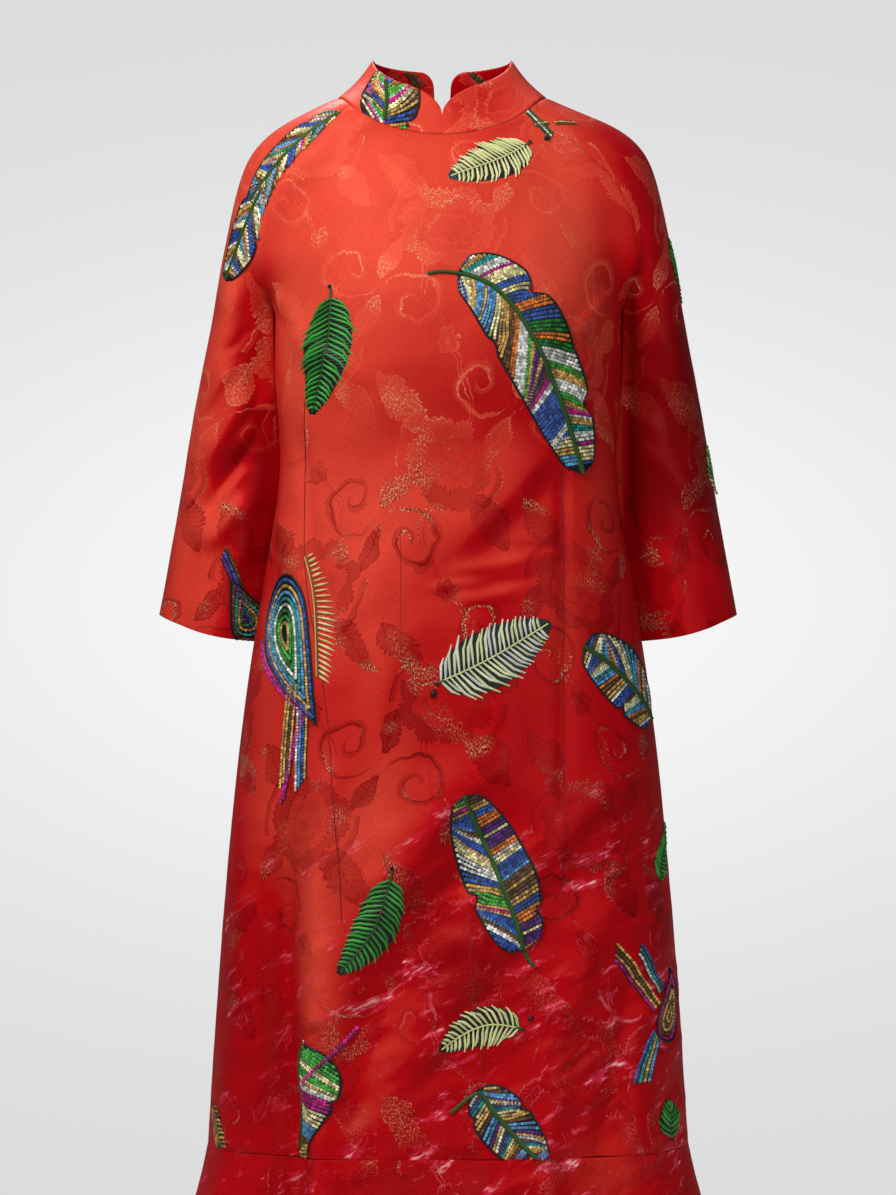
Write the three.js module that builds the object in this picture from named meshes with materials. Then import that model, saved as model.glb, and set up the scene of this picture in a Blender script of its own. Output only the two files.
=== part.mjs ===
// A modern ao dai: a red brocade dress in the form it has when worn, with every tube hollow and open.
// Millimetres, +Z up, the front faces -Y and the wearer's left sleeve is on +X.
// The origin is on the centre line, midway front to back, where the dress hangs on the shoulders.
//
// The form is one smooth surface, a torso and two arms that blend at the shoulders.
// Each cut piece is a grid of points on that surface between its seams, thickened into a wall of cloth.
import * as THREE from "three";

// ---- driving dimensions ----
const clothWall = 1.6;
const collarWall = 2.2;
const seamGap = 0.3;
const underarmEase = 4; // the sleeve stands this far off the body where it hangs beside it
const underarm = { x: 181.6, y: 2, z: -213 };
const flounceSeamZ = -1078;
const hemZ = -1268;
const backSlit = { bottomZ: -128, neckGap: 17, collarGap: 20 };

// Torso, from the neck down: half width at the side, depth in front and depth behind.
const torsoSections = [
  { z: 40, side: 56, front: 38, back: 42 },
  { z: 12, side: 80, front: 50, back: 56 },
  { z: -16, side: 106, front: 62, back: 68 },
  { z: -37, side: 128, front: 73, back: 76 },
  { z: -60, side: 148, front: 86, back: 85 },
  { z: -100, side: 166, front: 104, back: 96 },
  { z: -150, side: 176, front: 120, back: 103 },
  { z: -213, side: 181.6, front: 133, back: 106 },
  { z: -265, side: 181, front: 134, back: 102 },
  { z: -318, side: 178, front: 124, back: 92 },
  { z: -374, side: 174.7, front: 114, back: 86 },
  { z: -435, side: 181.5, front: 117, back: 96 },
  { z: -500, side: 192, front: 123, back: 109 },
  { z: -567, side: 203, front: 128, back: 119 },
  { z: -671, side: 217, front: 134, back: 128 },
  { z: -827, side: 232, front: 142, back: 137 },
  { z: -983, side: 243.5, front: 149, back: 144 },
  { z: -1078, side: 249.5, front: 153, back: 148 },
];

// Arms, from the neck down to the cuff: outer and inner edge, half depth and how far back the centre lies.
const armSections = [
  { z: 40, outer: 54, inner: -40, depth: 38, centre: 0 },
  { z: 12, outer: 88, inner: -40, depth: 48, centre: 0 },
  { z: -5, outer: 130, inner: -24, depth: 53, centre: 1 },
  { z: -16, outer: 160, inner: 0, depth: 56, centre: 2 },
  { z: -26, outer: 178, inner: 24, depth: 58, centre: 3 },
  { z: -36, outer: 192, inner: 45, depth: 60, centre: 4 },
  { z: -57, outer: 208, inner: 78, depth: 63, centre: 5 },
  { z: -88, outer: 220, inner: 112, depth: 65, centre: 7 },
  { z: -125, outer: 228, inner: 140, depth: 66, centre: 9 },
  { z: -165, outer: 236.5, inner: 161, depth: 65, centre: 11 },
  { z: -213, outer: 248, inner: 179, depth: 64, centre: 16 },
  { z: -265, outer: 257, inner: 172, depth: 61, centre: 28 },
  { z: -318, outer: 266.5, inner: 168, depth: 57, centre: 37 },
  { z: -374, outer: 275.5, inner: 165, depth: 54, centre: 44 },
  { z: -435, outer: 286, inner: 171, depth: 54, centre: 48 },
  { z: -500, outer: 298, inner: 181, depth: 56, centre: 50 },
  { z: -570, outer: 311, inner: 191, depth: 58, centre: 52 },
];
const sleeveHem = { outerZ: -530, innerZ: -557, frontDip: 8 };

// How widely the arm and the torso blend into each other, closing to a crease at the underarm.
const blendSections = [
  { z: 40, radius: 60 },
  { z: -60, radius: 60 },
  { z: -120, radius: 46 },
  { z: -170, radius: 24 },
  { z: -213, radius: 1 },
  { z: -260, radius: 1 },
];
const relaxing = { rounds: 8, share: 0.8, reach: 85 };
const creaseReach = 24; // cloth spans creases narrower than this
const sectionPower = 2.25; // 2 would be an ellipse; the torso is slightly squarer

// How finely the form is felt: the reach of a slope, the steps to land on it and a curve's parts.
const feeling = { reach: 0.4, steps: 12, divisions: 400, least: 1e-6 };

// Raglan seams from the neck to the underarm, on the +X side.
const frontRaglan = [
  { x: 117, y: -54, z: -31 },
  { x: 146, y: -60, z: -56 },
  { x: 172, y: -60, z: -84 },
  { x: 187, y: -57, z: -112 },
  { x: 194, y: -55, z: -140 },
  { x: 194, y: -52, z: -165 },
  { x: 190, y: -42, z: -188 },
  { x: 186, y: -24, z: -204 },
];
const backRaglan = [
  { x: 108, y: 62, z: -24 },
  { x: 138, y: 70, z: -52 },
  { x: 163, y: 73, z: -84 },
  { x: 180, y: 74, z: -112 },
  { x: 189, y: 73, z: -140 },
  { x: 190, y: 68, z: -165 },
  { x: 188, y: 54, z: -188 },
  { x: 185, y: 30, z: -204 },
];
const shoulderRidge = [-5, -26, -46, -70, -100, -140, -180, -198]; // heights along the sleeve's top
const raglanAngle = { front: 0.32 * Math.PI, back: 0.7 * Math.PI }; // where they meet the neck ring

// Neck seam and the collar's top edge: a ring each, as plan radii and heights at the front, side and back,
// with how soon its height leaves the side's for the front's or the back's.
const neckRing = { side: 107, front: 72, back: 66, frontZ: -38, sideZ: 5, backZ: -4, power: 1.4 };
const collarTop = { side: 72.5, front: 57, back: 54, frontZ: 10, sideZ: 46.5, backZ: 40, power: 1.15 };
const collarHollow = 3; // how far the stand curves in between its seam and its edge
const collarFrontCorner = { radius: 32, meetsAt: 0.43 };
const collarBackCorner = { radius: 11, meetsAt: 0.67 };
const neckLean = { shift: -6, fullZ: -40, noneZ: -190, fullX: 110, noneX: 195 }; // the neck hangs off centre

// Flounce: rows down from its seam, how far each stands out past it, and how deep its waves are.
const flounceRows = [
  { drop: 0, flare: 0, wave: 0 },
  { drop: 0.22, flare: 9, wave: 1.5 },
  { drop: 0.48, flare: 23, wave: 5 },
  { drop: 0.74, flare: 40, wave: 10 },
  { drop: 1, flare: 60, wave: 15 },
];
const flounceWaves = 9;
const flounceSway = 0.6; // how unevenly the waves are spaced round the hem

// The largest soft folds of the skirt, as a line down the cloth: where it starts and ends on the panel seen
// from its own side, its half breadth and its height. A negative height is a trough.
const frontFolds = [
  { x0: 150, z0: -640, x1: -95, z1: -1050, breadth: 42, height: 7 },
  { x0: 40, z0: -660, x1: 10, z1: -980, breadth: 38, height: -6 },
  { x0: -165, z0: -760, x1: -165, z1: -1078, breadth: 22, height: -7 },
  { x0: -120, z0: -560, x1: -135, z1: -1078, breadth: 30, height: 5 },
  { x0: 175, z0: -700, x1: 195, z1: -1078, breadth: 34, height: 5 },
  { x0: 100, z0: -880, x1: 120, z1: -1078, breadth: 34, height: -5 },
];
const backFolds = [
  { x0: -110, z0: -600, x1: -130, z1: -1078, breadth: 40, height: 6 },
  { x0: -50, z0: -700, x1: -60, z1: -1078, breadth: 34, height: -5 },
  { x0: 70, z0: -620, x1: 85, z1: -1078, breadth: 40, height: 6 },
  { x0: 150, z0: -720, x1: 165, z1: -1078, breadth: 34, height: -5 },
];

const foldFade = { fromSide: 60, start: -0.1, full: 0.45 }; // in from the side seam, and shares along a fold

// Grid of each piece: columns across, rows down, and how its points are spread.
const bodyGrid = { halfColumns: 11, raglanRows: 10, skirtRows: 18, leastTurn: 0.5 };
const sleeveGrid = { columns: 19, raglanRows: 10, armRows: 9, levelling: 0.15, samples: 61 };
const sleeveCap = { closesFrom: 0.25, rise: 0.5, easesFrom: 0.86 }; // shares of the way down the raglan seams
const collarGrid = { columns: 21, rows: 4, crowding: 0.1 };
const flounceColumns = 33;

// ---- smooth columns through the tables ----
function naturalSpline(xs, ys) {
  const n = xs.length;
  const second = new Array(n).fill(0);
  const work = new Array(n).fill(0);
  for (let i = 1; i < n - 1; i++) {
    const ratio = (xs[i] - xs[i - 1]) / (xs[i + 1] - xs[i - 1]);
    const pivot = ratio * second[i - 1] + 2;
    const bend = (ys[i + 1] - ys[i]) / (xs[i + 1] - xs[i]) - (ys[i] - ys[i - 1]) / (xs[i] - xs[i - 1]);
    second[i] = (ratio - 1) / pivot;
    work[i] = ((6 * bend) / (xs[i + 1] - xs[i - 1]) - ratio * work[i - 1]) / pivot;
  }
  for (let i = n - 2; i >= 0; i--) second[i] = second[i] * second[i + 1] + work[i];
  return (x) => {
    let low = 0;
    while (low < n - 2 && x > xs[low + 1]) low++;
    const step = xs[low + 1] - xs[low];
    const b = THREE.MathUtils.clamp((x - xs[low]) / step, 0, 1);
    const a = 1 - b;
    const curved = ((a ** 3 - a) * second[low] + (b ** 3 - b) * second[low + 1]) * step * step;
    return a * ys[low] + b * ys[low + 1] + curved / 6;
  };
}

function columnsOf(table) {
  const rising = [...table].sort((p, q) => p.z - q.z);
  const heights = rising.map((row) => row.z);
  const names = Object.keys(table[0]).filter((name) => name !== "z");
  const splineOf = (name) => naturalSpline(heights, rising.map((row) => row[name]));
  return Object.fromEntries(names.map((name) => [name, splineOf(name)]));
}

const torso = columnsOf(torsoSections);
const arm = columnsOf(armSections);
const blend = columnsOf(blendSections);

// ---- the form: each function is about the distance outside it ----
function torsoDistance(p) {
  const side = torso.side(p.z);
  const depth = p.y < 0 ? torso.front(p.z) : torso.back(p.z);
  const powers = Math.abs(p.x / side) ** sectionPower + Math.abs(p.y / depth) ** sectionPower;
  const share = powers ** (1 / sectionPower);
  return Math.hypot(p.x, p.y) * (1 - 1 / Math.max(share, feeling.least));
}

function armDistance(p) {
  const outer = arm.outer(p.z);
  const inner = arm.inner(p.z);
  const across = Math.abs(p.x) - (outer + inner) / 2;
  const along = p.y - arm.centre(p.z);
  const share = Math.hypot(across / ((outer - inner) / 2), along / arm.depth(p.z));
  return Math.hypot(across, along) * (1 - 1 / Math.max(share, feeling.least));
}

function wholeDistance(p) {
  const a = torsoDistance(p);
  const b = armDistance(p);
  const radius = Math.max(blend.radius(p.z), 1);
  const overlap = Math.max(radius - Math.abs(a - b), 0) / radius;
  return Math.min(a, b) - (overlap * overlap * radius) / 4;
}

function slopeOf(distance, p, reach = feeling.reach) {
  const parts = ["x", "y", "z"].map((axis) => {
    const ahead = p.clone();
    const behind = p.clone();
    ahead[axis] += reach;
    behind[axis] -= reach;
    return (distance(ahead) - distance(behind)) / (2 * reach);
  });
  return new THREE.Vector3(...parts);
}

// The way out of the form at a point of the dress.
function outward(p) {
  return slopeOf(p.z < underarm.z + 1 ? torsoDistance : wholeDistance, p, creaseReach).normalize();
}

// The nearest point of the form, by stepping down its slope.
function ontoForm(distance, start) {
  const p = start.clone();
  for (let i = 0; i < feeling.steps; i++) {
    const slope = slopeOf(distance, p);
    p.addScaledVector(slope, -distance(p) / Math.max(slope.lengthSq(), feeling.least));
  }
  return p;
}

// ---- curves ----
function curveThrough(points) {
  const curve = new THREE.CatmullRomCurve3(points, false, "centripetal");
  curve.arcLengthDivisions = feeling.divisions;
  return (share) => curve.getPointAt(THREE.MathUtils.clamp(share, 0, 1));
}

// angle 0 is the centre front, a half turn is the centre back, and positive is +X.
function ringPoint(ring, angle) {
  const c = Math.cos(angle);
  const depth = c > 0 ? ring.front : ring.back;
  const endZ = c > 0 ? ring.frontZ : ring.backZ;
  const z = ring.sideZ + (endZ - ring.sideZ) * Math.abs(c) ** ring.power;
  return new THREE.Vector3(ring.side * Math.sin(angle), -depth * c, z);
}

const neckPoint = (angle) => ontoForm(wholeDistance, ringPoint(neckRing, angle));
const underarmPoint = new THREE.Vector3(underarm.x, underarm.y, underarm.z);
const toVector = (row) => new THREE.Vector3(row.x, row.y, row.z);

function raglanCurve(table, neckAngle) {
  const along = curveThrough([neckPoint(neckAngle), ...table.map(toVector), underarmPoint]);
  return (share) => (share >= 1 ? underarmPoint.clone() : ontoForm(wholeDistance, along(share)));
}

const frontSeam = raglanCurve(frontRaglan, raglanAngle.front);
const backSeam = raglanCurve(backRaglan, raglanAngle.back);

// ---- grids of points ----
const mirror = (p) => new THREE.Vector3(-p.x, p.y, p.z);
const mix = (a, b, share) => a + (b - a) * share;
const shareOf = (i, count) => i / (count - 1);
const acrossHalf = Array.from({ length: bodyGrid.halfColumns }, (_, j) => shareOf(j, bodyGrid.halfColumns));

// How far the folds lift the cloth at a point of its panel, all dying out towards the side seams.
function foldLift(folds, p) {
  const inFromSide = THREE.MathUtils.smoothstep(torso.side(p.z) - Math.abs(p.x), 0, foldFade.fromSide);
  return folds.reduce((sum, fold) => {
    const dx = fold.x1 - fold.x0;
    const dz = fold.z1 - fold.z0;
    const along = ((p.x - fold.x0) * dx + (p.z - fold.z0) * dz) / (dx * dx + dz * dz);
    const off = Math.abs((p.x - fold.x0) * dz - (p.z - fold.z0) * dx) / Math.hypot(dx, dz);
    const fade = THREE.MathUtils.smoothstep(along, foldFade.start, foldFade.full);
    return sum + inFromSide * fold.height * fade * Math.exp(-((off / fold.breadth) ** 2));
  }, 0);
}

const folded = (p, facing) => p.addScaledVector(outward(p), foldLift(facing < 0 ? frontFolds : backFolds, p));

// A row of half a panel from its centre line to its edge, bowed as the torso is.
function torsoRow(centreZ, edge, facing) {
  const depth = facing < 0 ? torso.front(centreZ) : torso.back(centreZ);
  const turn = Math.atan2(edge.x / torso.side(edge.z), Math.abs(edge.y) / depth);
  const edgeAngle = Math.max(turn, bodyGrid.leastTurn);
  return acrossHalf.map((share) => {
    const angle = edgeAngle * share;
    const fall = (1 - Math.cos(angle)) / (1 - Math.cos(edgeAngle));
    return new THREE.Vector3(
      (edge.x * Math.sin(angle)) / Math.sin(edgeAngle),
      mix(facing * depth, edge.y, fall),
      mix(centreZ, edge.z, fall),
    );
  });
}

// Evens out the cloth near the underarm, where it spans the crease between body and arm. Edges stay put.
function relaxed(rows) {
  let current = rows;
  for (let round = 0; round < relaxing.rounds; round++) {
    const before = current;
    current = before.map((row, i) =>
      row.map((p, j) => {
        if (i === 0 || i === before.length - 1 || j === 0 || j === row.length - 1) return p;
        const around = [before[i - 1][j], before[i + 1][j], row[j - 1], row[j + 1]];
        const mean = around.reduce((sum, q) => sum.add(q), new THREE.Vector3()).divideScalar(around.length);
        const nearness = Math.exp(-((p.distanceTo(underarmPoint) / relaxing.reach) ** 2));
        return p.clone().lerp(mean, relaxing.share * nearness);
      }),
    );
  }
  return current;
}

// Half a body panel, from the centre line out to the raglan and side seams on +X.
function halfPanel({ seam, neckAngle, centreAngle, facing }) {
  const neckZ = neckPoint(centreAngle).z;
  const rows = [acrossHalf.map((share) => neckPoint(mix(centreAngle, neckAngle, share)))];
  for (let i = 1; i < bodyGrid.raglanRows; i++) {
    const share = i / bodyGrid.raglanRows;
    const edge = seam(share);
    const row = torsoRow(mix(neckZ, underarm.z, share), edge, facing).map((p) => ontoForm(wholeDistance, p));
    row[row.length - 1] = edge;
    rows.push(row);
  }
  for (let i = 0; i < bodyGrid.skirtRows; i++) {
    const z = mix(underarm.z, flounceSeamZ + seamGap / 2, shareOf(i, bodyGrid.skirtRows));
    const edge = new THREE.Vector3(torso.side(z), i === 0 ? underarm.y : 0, z);
    rows.push(torsoRow(z, edge, facing).map((p) => ontoForm(torsoDistance, p)));
  }
  return relaxed(rows);
}

const frontHalf = { seam: frontSeam, neckAngle: raglanAngle.front, centreAngle: 0, facing: -1 };
const backHalf = { seam: backSeam, neckAngle: raglanAngle.back, centreAngle: Math.PI, facing: 1 };

function frontPanel() {
  const rows = halfPanel(frontHalf).map((row) => [...row.slice(1).reverse().map(mirror), ...row]);
  return rows.map((row) => row.map((p) => folded(p, -1)));
}

// The back opens in a slit above its centre seam, widening up to the neck.
function slitHalfGap(z) {
  return (backSlit.neckGap / 2) * THREE.MathUtils.smoothstep(z, backSlit.bottomZ, neckRing.backZ);
}

function backPanel(side) {
  return halfPanel(backHalf).map((row) =>
    row.map((p, j) => {
      const opened = new THREE.Vector3(p.x + slitHalfGap(row[0].z) * (1 - acrossHalf[j]) ** 2, p.y, p.z);
      return folded(side > 0 ? opened : mirror(opened), 1);
    }),
  );
}

// One sleeve on +X: rows from the neck to the cuff, columns from the front seam over to the back seam.
function sleeve() {
  const ridge = curveThrough([neckPoint(Math.PI / 2), ...shoulderRidge.map(ridgePoint)]);
  const rows = [acrossSleeve((s) => neckPoint(mix(raglanAngle.front, raglanAngle.back, (s + 1) / 2)))];
  for (let i = 1; i <= sleeveGrid.raglanRows; i++) {
    const share = i / sleeveGrid.raglanRows;
    const front = frontSeam(share);
    const back = backSeam(share);
    const top = ridge(share + sleeveGrid.levelling * Math.sin(Math.PI * share));
    const closing = THREE.MathUtils.smoothstep(share, sleeveCap.closesFrom, 1);
    const centre = front.clone().add(back).multiplyScalar(0.5).lerp(top, sleeveCap.rise * closing);
    const ring = { centre, top, depth: arm.depth(top.z) };
    const frontAngle = i < sleeveGrid.raglanRows ? angleOnRing(ring, front) : -Math.PI;
    const backAngle = i < sleeveGrid.raglanRows ? angleOnRing(ring, back) : Math.PI;
    const toFront = front.clone().sub(pointOnRing(ring, frontAngle));
    const toBack = back.clone().sub(pointOnRing(ring, backAngle));
    const loose = Array.from({ length: sleeveGrid.samples }, (_, k) => {
      const s = 2 * shareOf(k, sleeveGrid.samples) - 1;
      const free = pointOnRing(ring, Math.abs(s) * (s < 0 ? frontAngle : backAngle));
      return ontoForm(wholeDistance, free.addScaledVector(s < 0 ? toFront : toBack, s * s));
    });
    const even = curveThrough([front, ...loose.slice(1, -1), back]);
    rows.push(acrossSleeve((s) => even((s + 1) / 2)));
  }
  for (let i = 1; i <= sleeveGrid.armRows; i++) {
    const share = i / sleeveGrid.armRows;
    const top = ridgePoint(mix(shoulderRidge[shoulderRidge.length - 1], sleeveHem.outerZ, share));
    const bottomZ = mix(underarm.z, sleeveHem.innerZ, share);
    const bottom = new THREE.Vector3(arm.inner(bottomZ), arm.centre(bottomZ), bottomZ);
    const centre = top.clone().add(bottom).multiplyScalar(0.5);
    const ring = { centre, top, depth: arm.depth(centre.z) };
    const dip = sleeveHem.frontDip * share ** 2;
    rows.push(
      acrossSleeve((s) => {
        const p = pointOnRing(ring, Math.PI * s);
        p.z -= dip * Math.sin(Math.PI * s) ** 2;
        return ontoForm(armDistance, p);
      }),
    );
  }
  return relaxed(rows).map((row, i) => {
    const eased = THREE.MathUtils.smoothstep(i / sleeveGrid.raglanRows, sleeveCap.easesFrom, 1);
    return row.map((p) => clearOfTorso(p, underarmEase * eased));
  });
}

function ridgePoint(z) {
  return new THREE.Vector3(arm.outer(z), arm.centre(z), z);
}

function acrossSleeve(pointAt) {
  const { columns } = sleeveGrid;
  return Array.from({ length: columns }, (_, j) => pointAt(2 * shareOf(j, columns) - 1));
}

// An elliptical ring about a centre: angle 0 is its top on the ridge, and positive is towards the back.
function pointOnRing({ centre, top, depth }, angle) {
  const p = centre.clone().addScaledVector(top.clone().sub(centre), Math.cos(angle));
  p.y += depth * Math.sin(angle);
  return p;
}

function angleOnRing({ centre, top, depth }, p) {
  const up = top.clone().sub(centre);
  const from = p.clone().sub(centre);
  const along = from.dot(up) / up.lengthSq();
  return Math.atan2((from.y - up.y * along) / depth, along);
}

// Moves a point of the sleeve off the body, to at least this distance.
function clearOfTorso(p, distance) {
  const lack = distance - torsoDistance(p);
  return lack > 0 && distance > 0 ? p.addScaledVector(slopeOf(torsoDistance, p).normalize(), lack) : p;
}

// One collar half on +X: columns from the centre front round to the centre back, rows up.
function collar() {
  const bottomEnd = Math.PI - Math.asin(slitHalfGap(neckRing.backZ) / neckRing.side);
  const topEnd = Math.PI - Math.asin(backSlit.collarGap / 2 / collarTop.side);
  const columns = Array.from({ length: collarGrid.columns }, (_, j) => {
    const share = easeToEnds(shareOf(j, collarGrid.columns));
    const foot = neckPoint(bottomEnd * share);
    const head = ringPoint(collarTop, topEnd * share);
    const height = cornerHeight(collarFrontCorner, share * Math.PI * collarTop.front) *
      cornerHeight(collarBackCorner, (1 - share) * Math.PI * collarTop.back);
    return Array.from({ length: collarGrid.rows }, (_, i) => {
      const up = height * shareOf(i, collarGrid.rows);
      const p = foot.clone().lerp(head, up);
      const drawnTo = 1 - (collarHollow * Math.sin(Math.PI * up)) / Math.hypot(p.x, p.y);
      return new THREE.Vector3(p.x * drawnTo, p.y * drawnTo, p.z);
    });
  });
  return Array.from({ length: collarGrid.rows }, (_, i) => columns.map((column) => column[i]));
}

const easeToEnds = (share) => share - collarGrid.crowding * Math.sin(2 * Math.PI * share);

// A rounded corner: the share of the full height that the edge has at a distance from the collar's end.
function cornerHeight(corner, distance) {
  const inside = Math.max(1 - distance / corner.radius, 0);
  return corner.meetsAt + (1 - corner.meetsAt) * Math.sqrt(1 - inside * inside);
}

// Half of the flounce, front or back, from one side seam round to the other.
function flounce(facing) {
  return flounceRows.map((row) => {
    const z = mix(flounceSeamZ, hemZ, row.drop);
    return Array.from({ length: flounceColumns }, (_, j) => {
      const angle = mix(-Math.PI / 2, Math.PI / 2, shareOf(j, flounceColumns));
      const depth = facing < 0 ? torso.front(flounceSeamZ) : torso.back(flounceSeamZ);
      const x = torso.side(flounceSeamZ) * Math.sin(angle);
      const onTorso = new THREE.Vector3(x, facing * depth * Math.cos(angle), flounceSeamZ);
      const p = folded(ontoForm(torsoDistance, onTorso), facing);
      const turn = Math.atan2(p.x, -p.y);
      const away = new THREE.Vector3(p.x, p.y, 0).normalize();
      const out = row.flare + row.wave * Math.cos(flounceWaves * turn + flounceSway * Math.sin(2 * turn));
      return new THREE.Vector3(p.x + away.x * out, p.y + away.y * out, z);
    });
  });
}

// ---- from a grid to a wall of cloth ----
// How far the grid's edge moves in at a point: half a gap along the form, square to the seam, which runs from
// one of the point's neighbours to the other. The piece across the seam moves the opposite way.
function drawIn(p, inner, before, after) {
  const inwards = after.clone().sub(before).cross(outward(p)).normalize();
  const side = Math.sign(inwards.dot(inner.clone().sub(p)));
  return inwards.multiplyScalar((side * seamGap) / 2);
}

// Draws the grid's edges in by half a seam gap: the first and last columns, and the rows that are asked for.
function drawnIn(rows, { top = false, bottom = false }) {
  const width = rows[0].length;
  const height = rows.length;
  const moved = rows.map((row) => row.map((p) => p.clone()));
  rows.forEach((row, i) => {
    const above = rows[Math.max(i - 1, 0)];
    const below = rows[Math.min(i + 1, height - 1)];
    moved[i][0].add(drawIn(row[0], row[1], above[0], below[0]));
    moved[i][width - 1].add(drawIn(row[width - 1], row[width - 2], above[width - 1], below[width - 1]));
  });
  const edgeRows = [...(top ? [[0, 1]] : []), ...(bottom ? [[height - 1, height - 2]] : [])];
  edgeRows.forEach(([edge, next]) =>
    rows[edge].forEach((p, j) => {
      const before = rows[edge][Math.max(j - 1, 0)];
      const after = rows[edge][Math.min(j + 1, width - 1)];
      moved[edge][j].add(drawIn(p, rows[next][j], before, after));
    }),
  );
  return moved;
}

function gridNormal(rows, i, j) {
  const across = rows[i][Math.min(j + 1, rows[0].length - 1)].clone().sub(rows[i][Math.max(j - 1, 0)]);
  const down = rows[Math.min(i + 1, rows.length - 1)][j].clone().sub(rows[Math.max(i - 1, 0)][j]);
  return across.cross(down).normalize();
}

// A closed wall of this thickness about the grid. facing is 1 where the grid's own normals point out of the
// dress and -1 where they point in. Two walls that meet at a seam take the same normal there, so that their
// edges are parallel.
function wall(rows, thickness, facing, seamNormal) {
  const height = rows.length;
  const width = rows[0].length;
  const normals = rows.map((row, i) =>
    row.map((p, j) => {
      const own = gridNormal(rows, i, j).multiplyScalar(facing);
      return seamNormal(own, p, { i, j, lastRow: i === height - 1, lastColumn: j === width - 1 });
    }),
  );
  const vertices = [];
  [0.5, -0.5].forEach((side) => {
    rows.forEach((row, i) => {
      row.forEach((p, j) => vertices.push(p.clone().addScaledVector(normals[i][j], side * thickness)));
    });
  });
  const at = (layer, i, j) => layer * height * width + i * width + j;
  const faces = [];
  const quad = (a, b, c, d) => (facing > 0 ? faces.push(a, b, c, a, c, d) : faces.push(a, c, b, a, d, c));
  for (let i = 0; i < height - 1; i++) {
    for (let j = 0; j < width - 1; j++) {
      quad(at(0, i, j), at(0, i, j + 1), at(0, i + 1, j + 1), at(0, i + 1, j));
      quad(at(1, i, j), at(1, i + 1, j), at(1, i + 1, j + 1), at(1, i, j + 1));
    }
    quad(at(0, i, 0), at(0, i + 1, 0), at(1, i + 1, 0), at(1, i, 0));
    quad(at(0, i, width - 1), at(1, i, width - 1), at(1, i + 1, width - 1), at(0, i + 1, width - 1));
  }
  for (let j = 0; j < width - 1; j++) {
    quad(at(1, 0, j), at(1, 0, j + 1), at(0, 0, j + 1), at(0, 0, j));
    quad(at(0, height - 1, j), at(0, height - 1, j + 1), at(1, height - 1, j + 1), at(1, height - 1, j));
  }
  const geometry = new THREE.BufferGeometry().setFromPoints(vertices);
  geometry.setIndex(faces);
  geometry.computeVertexNormals();
  return geometry;
}

// Which normals the edges take: the form's at body seams, and one lying in the seam's own plane elsewhere.
function bodySeam(own, p, place) {
  const free = place.i > 0 && place.j > 0 && !place.lastRow && !place.lastColumn;
  return free ? own : outward(p);
}

function sleeveSeam(own, p, place) {
  const sewn = place.i < sleeveGrid.raglanRows && (place.i === 0 || place.j === 0 || place.lastColumn);
  return sewn ? outward(p) : own;
}

function collarSeam(own, p, place) {
  if (place.i === 0) return outward(p);
  return place.j === 0 || place.lastColumn ? own.setX(0).normalize() : own;
}

function flounceSeam(own, p, place) {
  if (place.i === 0) return outward(p);
  return place.j === 0 || place.lastColumn ? own.setY(0).normalize() : own;
}

// The whole upper dress leans a little to one side at the neck, and not at all at the shoulders and below.
function leaning(rows) {
  const { shift, fullZ, noneZ, fullX, noneX } = neckLean;
  return rows.map((row) =>
    row.map((p) => {
      const high = THREE.MathUtils.smoothstep(p.z, noneZ, fullZ);
      const central = 1 - THREE.MathUtils.smoothstep(Math.abs(p.x), fullX, noneX);
      return new THREE.Vector3(p.x + shift * high * central, p.y, p.z);
    }),
  );
}

// ---- the pieces ----
const brocade = { color: 0xc8161a, roughness: 0.45, metalness: 0 };
const collarBrocade = { color: 0xd02420, roughness: 0.5, metalness: 0 };

const mirrored = (rows) => rows.map((row) => row.map(mirror));
const sleeveRows = sleeve();
const collarRows = collar();
const bothEnds = { top: true, bottom: true };
const topEnd = { top: true };

// Each cut piece: its grid, which ends are sewn, its thickness, its grid's facing, its edges and its cloth.
const pieces = [
  ["front_panel", frontPanel(), bothEnds, clothWall, -1, bodySeam, brocade],
  ["back_panel_left", backPanel(1), bothEnds, clothWall, 1, bodySeam, brocade],
  ["back_panel_right", backPanel(-1), bothEnds, clothWall, -1, bodySeam, brocade],
  ["sleeve_left", sleeveRows, topEnd, clothWall, -1, sleeveSeam, brocade],
  ["sleeve_right", mirrored(sleeveRows), topEnd, clothWall, 1, sleeveSeam, brocade],
  ["collar_left", collarRows, topEnd, collarWall, 1, collarSeam, collarBrocade],
  ["collar_right", mirrored(collarRows), topEnd, collarWall, -1, collarSeam, collarBrocade],
  ["flounce_front", flounce(-1), topEnd, clothWall, -1, flounceSeam, brocade],
  ["flounce_back", flounce(1), topEnd, clothWall, 1, flounceSeam, brocade],
];

const dress = new THREE.Group();
for (const [name, rows, sewnEnds, thickness, facing, seamNormal, cloth] of pieces) {
  const geometry = wall(drawnIn(leaning(rows), sewnEnds), thickness, facing, seamNormal);
  const mesh = new THREE.Mesh(geometry, new THREE.MeshStandardMaterial(cloth));
  mesh.name = name;
  dress.add(mesh);
}

export default dress;
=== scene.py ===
# Looks of a modern ao dai in red brocade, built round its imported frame. Lengths in the tables are millimetres.
import math
from functools import partialmethod
import bpy
import numpy as np
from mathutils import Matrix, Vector
from mathutils.kdtree import KDTree


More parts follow.
